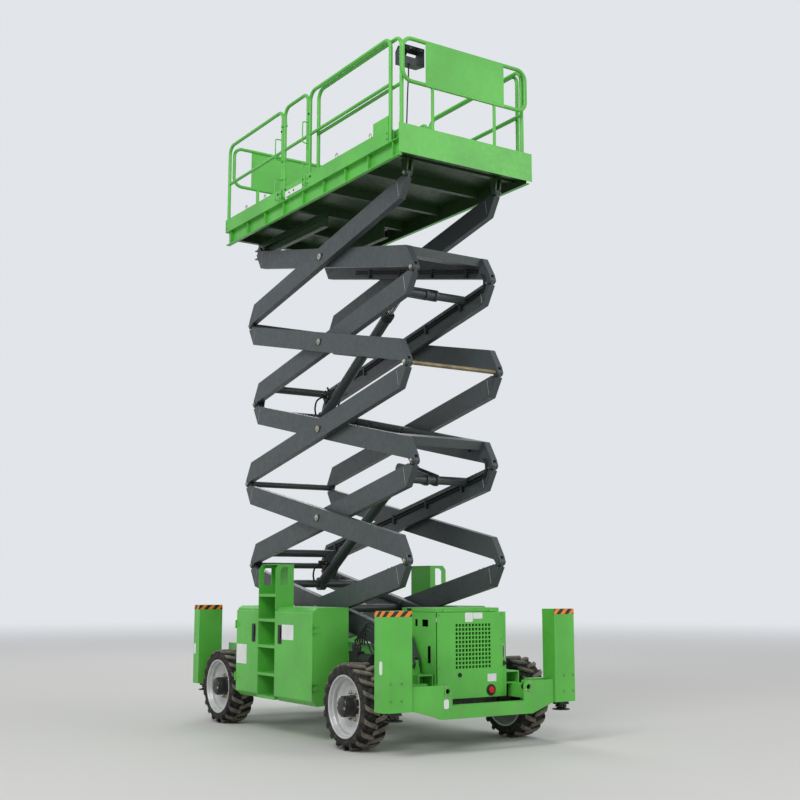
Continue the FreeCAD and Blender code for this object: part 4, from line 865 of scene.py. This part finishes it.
def engine_panel():
    labels = Shape()
    for y, z, w, h in ((-37.5, 1256, 94, 90), (71, 1270, 112, 58), (238.5, 668, 108, 74)):
        blank(labels, (FACE_X, y, z), FORWARDS, w, h, 5)
    labels.piece("engine_labels", label_white)
    stop = Shape()
    stop.lathe([(0, 0), (20, 0), (20, 8), (30, 10), (33, 14), (31, 20), (0, 22)], at(STOP_AT, FORWARDS),
        36)
    stop.piece("stop_button", stop_red)
    trim = Shape()
    trim.turn([(55, 0), (55, 6), (50, 10), (30, 10), (30, 6)], at(STOP_AT, FORWARDS), 36)
    trim.turn([(21, 0), (21, 8), (17, 11), (12, 11), (12, 6)], at((FACE_X, -153, 707), FORWARDS), 28)
    trim.lathe([(0, 0), (24, 0), (24, 10), (19, 22), (0, 24)], at((1985, 396, 802), FORWARDS), 24)
    trim.piece("panel_trim", black_plastic)
    handle = Shape()
    handle.prism(rounded(24, 152, 8), 0, 7, facing((1985, 396, 915), FORWARDS))
    handle.prism(rounded(16, 120, 7), 7, 20, facing((1985, 396, 915), FORWARDS))
    for z in (1235, 560):
        handle.prism(rounded(12, 46, 4), 0, 10, facing((1985, -421.5, z), FORWARDS))
    handle.piece("panel_handle", zinc, bevel=1.5)
    seam = Shape()
    for y in (-416.5, 379.5):
        seam.block((1984.8, y - 3.5, 487), (1986.8, y + 3.5, 1300))
    seam.piece("panel_seam", shadow_gap)
    bolts = Shape()
    for y in (-395, 358):
        for z in (510, 780, 1040, 1280):
            bolt(bolts, (FACE_X, y, z), FORWARDS, 6)
    bolts.piece("panel_bolts", green_bolt)
    core = Shape()
    core.block((1935, -225, 745), (1945, 265, 1225))
    for i in range(30):
        y = -222 + 16.5 * i
        core.block((1944, y, 750), (1958, y + 3, 1220))
    core.piece("radiator_core", radiator_grey)
    lid = Shape()
    for s in SIDES:
        y = -404 if s < 0 else 367
        place = facing((1500, y, 1326.5), (0, s, 0))
        lid.prism(rounded(70, 26, 6), 0, 6, place)
        lid.prism(rounded(30, 18, 5), 6, 16, place)
    lid.piece("lid_catches", black_plastic, "engine_lid", bevel=1)


BUMPER_X = 2260


def bumpers():
    rings, sleeves, bright, labels = Shape(), Shape(), Shape(), Shape()
    for e in SIDES:
        for s in SIDES:
            eye = (e * BUMPER_X, s * 485, 585)
            rings.lathe([(24.2, 0), (38, 0), (38, 5), (34, 8), (27.5, 8), (24.2, 5)], at(eye, (e, 0, 0)),
                32)
            sleeves.lathe([(24.3, -75), (31, -75), (31, -12.2), (24.3, -12.2), (24.3, -75)],
                at(eye, (e, 0, 0)), 32)
            for y, z in ((512, 622), (512, 548), (452, 560)):
                bolt(bright, (e * BUMPER_X, s * y, z), (e, 0, 0), 8.5)
        blank(labels, (e * BUMPER_X, -e * 500, 470), (e, 0, 0), 56, 86, 18)
    rings.piece("tie_down_rims", green)
    sleeves.piece("tie_down_sleeves", shadow_gap)
    bright.piece("tie_down_bolts", zinc)
    labels.piece("bumper_labels", label_white)


def running_gear():
    """Steering cylinder and track rods, knuckle arms, drive shaft and the axle's bolted cover."""
    steer = Shape()
    rod(steer, (1515, -230, 470), (1515, 230, 470), 34, 28)
    for s in SIDES:
        rod(steer, (1515, s * 225, 470), (1515, s * 252, 470), 38, 28)
        steer.block((1475, s * 190 - 12, 415), (1530, s * 190 + 12, 510))
    steer.piece("steering_cylinder", black_paint, bevel=2)
    rods = Shape()
    for s in SIDES:
        rod(rods, (1515, s * 250, 470), (1515, s * 460, 470), 14, 20)
        rod(rods, (1515, s * 455, 470), (1563, s * 722, 470), 11, 16)
        rods.lathe([(0, -20), (18, -18), (24, 0), (18, 18), (0, 20)], at((1515, s * 460, 470)), 20)
    rods.piece("steering_rods", chrome)
    for s, side in NAMED_SIDES:
        arm = Shape()
        arm.prism([(1440, s * 695), (1495, s * 711), (1570, s * 711), (1578, s * 727), (1570, s * 743),
            (1440, s * 745)], 440, 458)
        for j in SIDES:
            arm.lathe([(40.5, 0), (58, 0), (58, 12), (40.5, 16)],
                at((1420, s * 715, 413 + j * 40), (0, 0, j)), 28)
        arm.lathe([(70.5, 0), (118, 0), (118, 18), (70.5, 18)], at((1420, s * 825, 413), (0, s, 0)), 36)
        for x, z in around(8, 96):
            bolt(arm, (AXLE_X + x, s * 825, TYRE_R + z), (0, -s, 0), 8)
        arm.piece("knuckle_arm_" + side, black_paint, "steering_" + side, bevel=2)
    cover = Shape()
    for e in SIDES:
        cover.turn([(112, -20), (112, -6), (106, 0), (70, 12), (30, 20)],
            at((e * 1525, 0, TYRE_R), (e, 0, 0)), 40)
        for y, z in around(10, 95):
            bolt(cover, (e * 1519, y, TYRE_R + z), (e, 0, 0), 7.5)
    rod(cover, (-1300, 0, TYRE_R), (1300, 0, TYRE_R), 30, 24)
    for x in (-1260, -420, 420, 1260):
        rod(cover, (x - 50, 0, TYRE_R), (x + 50, 0, TYRE_R), 46, 24)
    cover.piece("drive_line", black_paint)
    plates = Shape()
    for e in SIDES:
        for s in SIDES:
            for j in SIDES:
                bolt(plates, (e * AXLE_X + j * 50, s * 300, 488), UP, 10)
    plates.piece("axle_bolts", zinc)


def machinery():
    """Pump, valves and hoses on the deck between the front wheel and the side box."""
    for s, side in NAMED_SIDES:
        dark = Shape()
        y = s * 700
        dark.block((860, y - 50, 722), (1100, y + 50, 760))
        dark.block((1100, min(s * 650, s * 698), 722), (1280, max(s * 650, s * 698), 760))
        dark.block((900, y - 45, 760), (1060, y + 45, 905))
        rod(dark, (1100, y - 10, 830), (1300, y - 10, 830), 55, 28)
        for i in range(4):
            x = 920 + 40 * i
            rod(dark, (x, y, 900), (x, y, 975 + 12 * (i % 2)), 14, 16)
            rod(dark, (x, y, 925), (x, y, 955), 18, 6)
        dark.piece("deck_valves_" + side, black_paint, bevel=3)
        lines = Shape()
        for i in range(5):
            x = 915 + 45 * i
            top = 1020 + 35 * i
            lines.tube(smooth_path([(x, y - s * 20, 970), (x + 20, y - s * 20, top),
                (x + 160, y - s * 35, top + 15), (x + 300, y - s * 20, top - 100),
                (1300 + 12 * i, y - s * 30, 800), (1360, y - s * 40, 710)], 8), 9.5, 9)
        lines.piece("deck_hoses_" + side, cable_black)
        ends = Shape()
        for i in range(4):
            rod(ends, (920 + 40 * i, y - s * 20, 955), (920 + 40 * i, y - s * 20, 985), 12.5, 6)
        ends.piece("deck_fittings_" + side, zinc)


# Platform
FLOOR_Z = LOW_PIN_Z + STAGES * RISE + 250.5
POST_Y = 830
POSTS = {LEFT: (-1995, -545, 115, 1800), RIGHT: (-1995, 70, 115, 1800)}
TREAD_PITCH = 50
TREAD_HALF = (17, 5.5)
TREAD_RISE = 2


def tread(shape, x0, x1, y0, y1, z):
    """Raised lozenges of a checker plate, each turned a quarter from its neighbours."""
    for i in range(int((x1 - x0) / TREAD_PITCH)):
        for j in range(int((y1 - y0) / TREAD_PITCH)):
            place = Matrix.Translation((x0 + (i + 0.5) * TREAD_PITCH, y0 + (j + 0.5) * TREAD_PITCH, z))
            place = place @ Matrix.Rotation(math.pi * (0.25 if (i + j) % 2 else 0.75), 4, "Z")
            a, b = TREAD_HALF
            low = [(a, 0, 0), (0, b, 0), (-a, 0, 0), (0, -b, 0)]
            top = [(x * 0.7, y * 0.6, TREAD_RISE) for x, y, _ in low]
            faces = [(n, (n + 1) % 4, (n + 1) % 4 + 4, n + 4) for n in range(4)]
            faces += [(4, 5, 6, 7), (3, 2, 1, 0)]
            shape.add(low + top, faces, place)


def decks():
    fixed = Shape()
    tread(fixed, -1900, 100, -775, 775, FLOOR_Z)
    fixed.piece("deck_tread", green, "platform", crease=5)
    rolled = Shape()
    tread(rolled, 220, 1920, -725, 675, FLOOR_Z + 26)
    rolled.piece("roll_out_tread", green, "extension", crease=5)


def rail_feet():
    """Bolted seat plates of the guard rail posts and flanges under the rear rail."""
    plates, bolts = Shape(), Shape()
    for s, row in POSTS.items():
        for x in row:
            a, b = sorted((s * 803.5, s * 808.5))
            plates.block((x - 30, a, FLOOR_Z), (x + 30, b, FLOOR_Z + 135))
            for z in (40, 100):
                bolt(bolts, (x, s * 803.5, FLOOR_Z + z), (0, -s, 0), 7.5)
                bolt(bolts, (min(x, 1775), s * 858, FLOOR_Z + z), (0, s, 0), 8.5)
    for y in (-430, 370):
        plates.prism(rounded(56, 96, 10), 0, 8, Matrix.Translation((-1988, y, FLOOR_Z)))
        for j in SIDES:
            bolt(bolts, (-1980, y + j * 36, FLOOR_Z + 8), (0, 0, 1), 6.5)
    plates.piece("rail_seats", green, "platform", bevel=1)
    bolts.piece("rail_bolts", green_bolt, "platform")


def grab_handles():
    """Round bar loops on both posts of the gate, and the straps of its hinges."""
    bars = Shape()
    for x in (-545, 115):
        for low, high in ((6030, 6285), (6530, 6780)):
            y = -848
            path = [(x, y, low), (x, y - 50, low), (x, y - 72, low + 6), (x, y - 80, low + 30),
                (x, y - 80, high - 30), (x, y - 72, high - 6), (x, y - 50, high), (x, y, high)]
            bars.tube(smooth_path(path, 5), 6.5, 10)
    bars.piece("grab_handles", green, "platform")
    straps = Shape()
    for z in (6300, 6520, 6950):
        for x, r in ((-545, 21.2), (-495, 22.2)):
            straps.lathe([(r, -16), (r + 5, -16), (r + 5, 16), (r, 16), (r, -16)], at((x, -POST_Y, z)),
                28)
        for y in (-POST_Y - 26.2, -POST_Y + 21.2):
            straps.block((-545, y, z - 14), (-495, y + 5, z + 14))
    straps.piece("gate_hinge_straps", green, "platform", bevel=1)
    studs = Shape()
    for x, z in ((-545, 6885), (115, 6885)):
        bolt(studs, (x, -POST_Y - 20.5, z), (0, -1, 0), 10)
    for x in (-600, 175):
        bolt(studs, (x, -858, 6125), (0, -1, 0), 10)
    studs.piece("post_studs", black_plastic, "platform")
    eyes = Shape()
    for s in SIDES:
        for x in (-1450, -950, 750, 1440):
            path = [(x - 22, s * 849, 6170), (x - 26, s * 849, 6196), (x, s * 849, 6222),
                (x + 26, s * 849, 6196), (x + 22, s * 849, 6170)]
            eyes.tube(smooth_path(path, 6), 6, 10)
            eyes.block((x - 34, min(s * 843, s * 852), 6135), (x + 34, max(s * 843, s * 852), 6172))
    eyes.piece("lanyard_eyes", zinc, "platform", bevel=1)


def gate_trim():
    """Blank threshold plate, bolts and slide latch of the gate."""
    sign = Shape()
    blank(sign, (-230, -850, 6077), (0, -1, 0), 400, 64, 4)
    sign.piece("gate_plate", label_white, "gate")
    studs = Shape()
    for x, z in ((-330, 6077), (-225, 6077)):
        bolt(studs, (x, -851.2, z), (0, -1, 0), 8)
    for x in (-430, -10):
        bolt(studs, (x, -850, 6140), (0, -1, 0), 9.5)
    studs.piece("gate_studs", black_plastic, "gate")
    latch = Shape()
    latch.block((10, -813, 6640), (60, -794, 6700))
    rod(latch, (0, -800, 6670), (98, -800, 6670), 7.5, 14)
    latch.lathe([(0, 0), (11, 0), (15, 12), (13, 26), (0, 30)], at((18, -794, 6670), (0, 1, 0)), 20)
    latch.piece("gate_latch", zinc, "gate", bevel=1)


# Control box on the roll-out deck's rail, with its hood open towards both sides
PANEL_X = 1740
PANEL_Z = 6899.6
PANEL_Y = (-735, -480)


def side_plate(shape, outline, y0, y1):
    """Outline in X and Z, drawn from the box's low corner."""
    place = Matrix(((1, 0, 0, PANEL_X), (0, 0, -1, y1), (0, 1, 0, PANEL_Z), (0, 0, 0, 1)))
    shape.prism(outline, 0, y1 - y0, place)


def control_box():
    shell = Shape()
    y0, y1 = PANEL_Y
    tray = [(0, 0), (165, -30), (165, 45), (0, 40)]
    side_plate(shell, tray, y0 + 5, y1 - 5)
    cheek = [(0, 0), (165, -30), (165, 170), (50, 190), (0, 140)]
    side_plate(shell, cheek, y0, y0 + 5)
    side_plate(shell, cheek, y1 - 5, y1)
    hood = [(16, 156), (50, 190), (165, 170), (165, 165), (52, 185), (20, 153)]
    side_plate(shell, hood, y0 + 5, y1 - 5)
    for y in (y0 + 35, y1 - 80):
        side_plate(shell, [(150, 130), (208, 130), (208, 136), (150, 136)], y, y + 30)
        side_plate(shell, [(203, 112), (208, 112), (208, 131), (203, 131)], y, y + 30)
        side_plate(shell, [(150, 120), (156, 120), (156, 168), (150, 168)], y, y + 30)
    shell.turn([(13, 0), (13, 20), (17, 22), (17, 47)], at((1862, -650, 6851.7)), 24)
    obj = shell.piece("control_console", box_grey, "extension", bevel=1.5)
    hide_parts("control_box")
    face = PANEL_Z + 41.5
    keys = Shape()
    keys.turn([(24, 0), (22, 10), (14, 18), (9, 30), (7.5, 70)],
        at((PANEL_X + 75, -655, face), (-0.06, 0, 1)), 24)
    keys.lathe([(8.5, 62), (15.5, 70), (17.5, 90), (15, 108), (0, 112)],
        at((PANEL_X + 75, -655, face), (-0.06, 0, 1)), 24)
    for i in range(3):
        keys.lathe([(0, 0), (9, 0), (9, 6), (4.5, 8), (3.5, 26), (0, 27)],
            at((PANEL_X + 120, -600 + i * 30, face + 1), (-0.3, 0, 1)), 14)
    for i in range(4):
        place = Matrix.Translation((PANEL_X + 40, -605 + i * 28, face - 1))
        keys.prism(rounded(20, 16, 4), 0, 6, place)
    keys.piece("console_controls", black_plastic, "extension")
    stop = Shape()
    stop.lathe([(0, 0), (10, 0), (10, 16), (19, 20), (20, 28), (16, 34), (0, 36)],
        at((PANEL_X + 75, -515, face)), 28)
    stop.piece("console_stop", stop_red, "extension")
    sheet = Shape()
    blank(sheet, (PANEL_X + 75, -572, face - 0.5), (-0.03, 0, 1), 110, 66, 5)
    sheet.piece("console_face", label_white, "extension")


# Inside the side boxes and the engine box
LOCKER_Z = 407
LOCKER_Y = 702


def ports(shape, points, size):
    for x, y, z in points:
        shape.turn([(size, 0), (size, size * 0.8), (size * 0.7, size), (size * 0.7, size * 2.1)],
            at((x, y, z)), 16)


def lockers():
    """Oil tank and valves in the front locker; battery and ground controls in the rear one."""
    for s, side in NAMED_SIDES:
        flip = Matrix(((1, 0, 0, 0), (0, s, 0, 0), (0, 0, 1, 0), (0, 0, 0, 1)))
        tank = Shape()
        tank.prism([(40, 720), (380, 720), (400, 740), (400, 1010), (380, 1030), (40, 1030), (20, 1010),
            (20, 740)], LOCKER_Z, 1000, flip)
        tank.turn([(52, 0), (52, 22), (44, 26), (44, 52), (38, 60)], flip @ at((130, 870, 1000)), 28)
        tank.piece("oil_tank_" + side, green, bevel=6)
        black = Shape()
        black.block((460, 760, LOCKER_Z), (740, 980, 450), flip)
        black.block((480, 790, 450), (720, 940, 640), flip)
        for i in range(4):
            x = 510 + 60 * i
            black.turn([(21, 0), (21, 60), (16, 66), (16, 78)], flip @ at((x, 940, 560), (0, 1, 0)), 18)
        black.block((455, LOCKER_Y, 800), (765, 780, 1160), flip)
        black.piece("valve_block_" + side, black_paint, bevel=3)
        bright = Shape()
        ports(bright, [(510 + 60 * i, s * 830, 640) for i in range(4)], 14)
        for z in (560, 860):
            bright.block((195, 1030, z), (225, 1036, z + 110), flip)
        ports(bright, [(-810, s * 850, 632), (-530, s * 850, 632)], 10)
        bright.piece("locker_fittings_" + side, zinc)
        lines = Shape()
        for i in range(4):
            x = 510 + 60 * i
            path = [(x, 830, 665), (x, 830, 720 + 20 * i), (x + 15, 850, 860), (x + 5, 815, 1000),
                (500 + 50 * i, 790, 1100), (490 + 50 * i, 745, 1200), (480 + 50 * i, 712, 1240)]
            lines.tube([(a, s * b, c) for a, b, c in smooth_path(path, 6)], 9.5, 9)
        for x, end in ((-810, -880), (-530, -440)):
            path = [(x, 850, 645), (x, 850, 690), (x + (end - x) * 0.6, 830, 740), (end, 780, 800),
                (end, 715, 950)]
            lines.tube([(a, s * b, c) for a, b, c in smooth_path(path, 6)], 8, 9)
        lines.piece("locker_lines_" + side, cable_black)
        cells = Shape()
        cells.block((-850, 760, LOCKER_Z), (-490, 940, 612), flip)
        cells.block((-858, 752, 596), (-482, 948, 626), flip)
        for i in range(6):
            cells.turn([(14, 0), (14, 6)], flip @ at((-780 + 44 * i, 800, 626)), 16)
        cells.block((-800, LOCKER_Y, 870), (-540, 772, 1180), flip)
        cells.prism(rounded(240, 290, 12), 0, 6, flip @ facing((-670, 772, 1025), (0, 1, 0)))
        for i in range(3):
            for j in range(2):
                spot = (-745 + 75 * i, 778, 1085 - 80 * j)
                cells.lathe([(0, 0), (15, 0), (15, 6), (9, 10), (0, 11)], flip @ at(spot, (0, 1, 0)), 18)
        cells.piece("battery_and_panel_" + side, black_plastic, bevel=2)
        stop = Shape()
        stop.lathe([(0, 0), (12, 0), (12, 12), (22, 17), (23, 25), (18, 31), (0, 33)],
            flip @ at((-595, 778, 935), (0, 1, 0)), 28)
        stop.piece("ground_stop_" + side, stop_red)


FAN_AT = (1905, -20, 985)


def engine_parts():
    """What stands on and beside the engine block."""
    iron = Shape()
    iron.prism(rounded(250, 170, 30), 1120, 1140, Matrix.Translation((1650, -50, 0)))
    for i in range(5):
        iron.block((1560 + 40 * i, -120, 1138), (1572 + 40 * i, 20, 1144))
    iron.turn([(24, 0), (24, 8)], at((1745, -50, 1140)), 20)
    for i in range(4):
        x = 1540 + 73 * i
        iron.block((x - 22, -245, 990), (x + 22, -199, 1060))
        iron.block((x - 20, 159, 990), (x + 20, 205, 1050))
    rod(iron, (1500, 245, 1010), (1800, 245, 1010), 50, 28)
    rod(iron, (1470, 245, 1010), (1500, 245, 1010), 24, 20)
    for y, z, r in ((-20, 720, 85), (-20, 985, 60), (150, 900, 40)):
        rod(iron, (1863, y, z), (1893, y, z), r, 36)
        rod(iron, (1800, y, z), (1863, y, z), 20, 16)
    iron.piece("engine_castings", engine_grey, bevel=2)
    soft = Shape()
    rod(soft, (1500, -315, 1020), (1730, -315, 1020), 66, 32)
    rod(soft, (1490, -315, 1020), (1500, -315, 1020), 60, 32)
    soft.tube(smooth_path([(1730, -315, 1020), (1780, -310, 1022), (1815, -280, 1025), (1812, -225, 1028),
        (1770, -195, 1025)], 8), 28, 14)
    soft.tube(smooth_path([(1800, -80, 1100), (1850, -90, 1112), (1890, -120, 1110), (1930, -130, 1100)],
        8), 19, 12)
    belt = [(-20, 720, 87, 180, 330), (150, 900, 42, 330, 400), (-20, 985, 62, 60, 180)]
    path = []
    for y, z, r, start, end in belt:
        for i in range(9):
            a = math.radians(start + (end - start) * i / 8)
            path.append((1878, y + r * math.cos(a), z + r * math.sin(a)))
    soft.tube(path, 5, 6, closed=True)
    soft.piece("engine_hoses", cable_black)
    fan = Shape()
    for i in range(7):
        place = at(FAN_AT, FORWARDS) @ Matrix.Rotation(2 * math.pi * i / 7, 4, "Z")
        fan.add([(30, -16, 0), (150, -44, 0), (150, 36, 14), (30, 16, 10), (30, -16, 3), (150, -44, 3),
            (150, 36, 17), (30, 16, 13)], [(3, 2, 1, 0), (4, 5, 6, 7), (0, 1, 5, 4), (1, 2, 6, 5),
            (2, 3, 7, 6), (3, 0, 4, 7)], place)
    fan.turn([(40, -14), (44, 0), (44, 18), (30, 26)], at(FAN_AT, FORWARDS), 28)
    fan.piece("engine_fan", black_plastic)


# Stage and camera
def make_camera():
    cam = bpy.data.cameras.new("camera")
    cam.sensor_width = SENSOR
    cam.lens = CAMERA_LENS
    cam.clip_end = 500.0
    obj = add_object("camera", cam)
    yaw, pitch = math.radians(CAMERA_YAW), math.radians(CAMERA_PITCH)
    way = Vector((math.cos(yaw) * math.cos(pitch), math.sin(yaw) * math.cos(pitch), math.sin(pitch)))
    aim(obj, CAMERA_AT, way)
    bpy.context.scene.camera = obj


FLOOR_REACH = 120
HAZE_NEAR, HAZE_FAR = 7, 42


def make_floor():
    """Pale ground that fades into the backdrop far from the machine."""
    data = bpy.data.meshes.new("floor")
    corners = ((-1, -1), (1, -1), (1, 1), (-1, 1))
    data.from_pydata([(x * FLOOR_REACH, y * FLOOR_REACH, 0) for x, y in corners], [], [(0, 1, 2, 3)])
    obj = add_object("floor", data)
    k = Look("floor", rough=0.85, spec=0.2)
    k.colour((206, 204, 199))
    far = k.math("SQRT", k.math("ADD", k.math("MULTIPLY", k.axis("X"), k.axis("X")),
        k.math("MULTIPLY", k.axis("Y"), k.axis("Y"))))
    haze = k.nodes.new("ShaderNodeEmission")
    haze.inputs["Color"].default_value = linear(BACKDROP)
    blend = k.nodes.new("ShaderNodeMixShader")
    k.links.new(k.span(far, HAZE_NEAR, HAZE_FAR), blend.inputs["Fac"])
    k.links.new(k.shader.outputs["BSDF"], blend.inputs[1])
    k.links.new(haze.outputs["Emission"], blend.inputs[2])
    k.links.new(blend.outputs["Shader"], k.nodes["Material Output"].inputs["Surface"])
    data.materials.append(k.mat)


# Name, place, size in metres and power in watts
LAMPS = (("key", (9, -15, 17), 9, 2300), ("fill", (15, 9, 9), 8, 700), ("back", (-14, 6, 13), 8, 700))
LAMPS_AIM = (0, 0, 3.2)
SKY = (220, 225, 231)
SKY_STRENGTH = 0.75


def make_lights():
    world = bpy.data.worlds.new("world")
    bpy.context.scene.world = world
    world.use_nodes = True
    nodes, links = world.node_tree.nodes, world.node_tree.links
    sky = nodes["Background"]
    sky.inputs["Color"].default_value = linear(SKY)
    sky.inputs["Strength"].default_value = SKY_STRENGTH
    seen = nodes.new("ShaderNodeBackground")
    seen.inputs["Color"].default_value = linear(BACKDROP)
    path = nodes.new("ShaderNodeLightPath")
    blend = nodes.new("ShaderNodeMixShader")
    either = path.outputs["Is Camera Ray"]
    for ray in ("Is Glossy Ray", "Is Transmission Ray"):
        add = nodes.new("ShaderNodeMath")
        add.operation = "MAXIMUM"
        links.new(either, add.inputs[0])
        links.new(path.outputs[ray], add.inputs[1])
        either = add.outputs["Value"]
    links.new(either, blend.inputs["Fac"])
    links.new(sky.outputs["Background"], blend.inputs[1])
    links.new(seen.outputs["Background"], blend.inputs[2])
    links.new(blend.outputs["Shader"], nodes["World Output"].inputs["Surface"])
    for name, spot, size, power in LAMPS:
        lamp = bpy.data.lights.new(name, "AREA")
        lamp.size = size
        lamp.energy = power
        aim(add_object(name, lamp), spot, Vector(LAMPS_AIM) - Vector(spot))


# Control cable, from the gland under the control box to the one on the roll-out deck
CABLE_RADIUS = 0.007
CABLE_ROUTE = [
    (1.862, -0.650, 6.852),
    (1.862, -0.650, 6.770),
    (1.868, -0.662, 6.640),
    (1.884, -0.680, 6.490),
    (1.897, -0.692, 6.340),
    (1.896, -0.697, 6.200),
    (1.886, -0.695, 6.110),
    (1.886, -0.695, 6.070),
]


def control_cable():
    curve = bpy.data.curves.new("control_cable_line", "CURVE")
    curve.dimensions = "3D"
    curve.bevel_depth = CABLE_RADIUS
    curve.bevel_resolution = 4
    curve.resolution_u = 16
    curve.use_fill_caps = True
    spline = curve.splines.new("NURBS")
    spline.points.add(len(CABLE_ROUTE) - 1)
    for point, place in zip(spline.points, CABLE_ROUTE):
        point.co = (*place, 1.0)
    spline.order_u = 3
    spline.use_endpoint_u = True
    curve.materials.append(cable_black)
    obj = add_object("control_cable_line", curve)
    body = next(b for b, nodes in frame["record"]["behaviour"]["bodies"].items()
        if "control_cable" in nodes)
    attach(obj, body)
    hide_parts("control_cable")


dress_cad_nodes()
control_cable()
wheels()
scissor_fasteners()
bronze_rod()
hoses()
lift_cylinders()
covers()
feet()
doors()
ladders()
engine_panel()
bumpers()
running_gear()
machinery()
decks()
rail_feet()
grab_handles()
gate_trim()
control_box()
lockers()
engine_parts()
make_camera()
make_floor()
make_lights()

bpy.context.scene.view_settings.view_transform = "Standard"
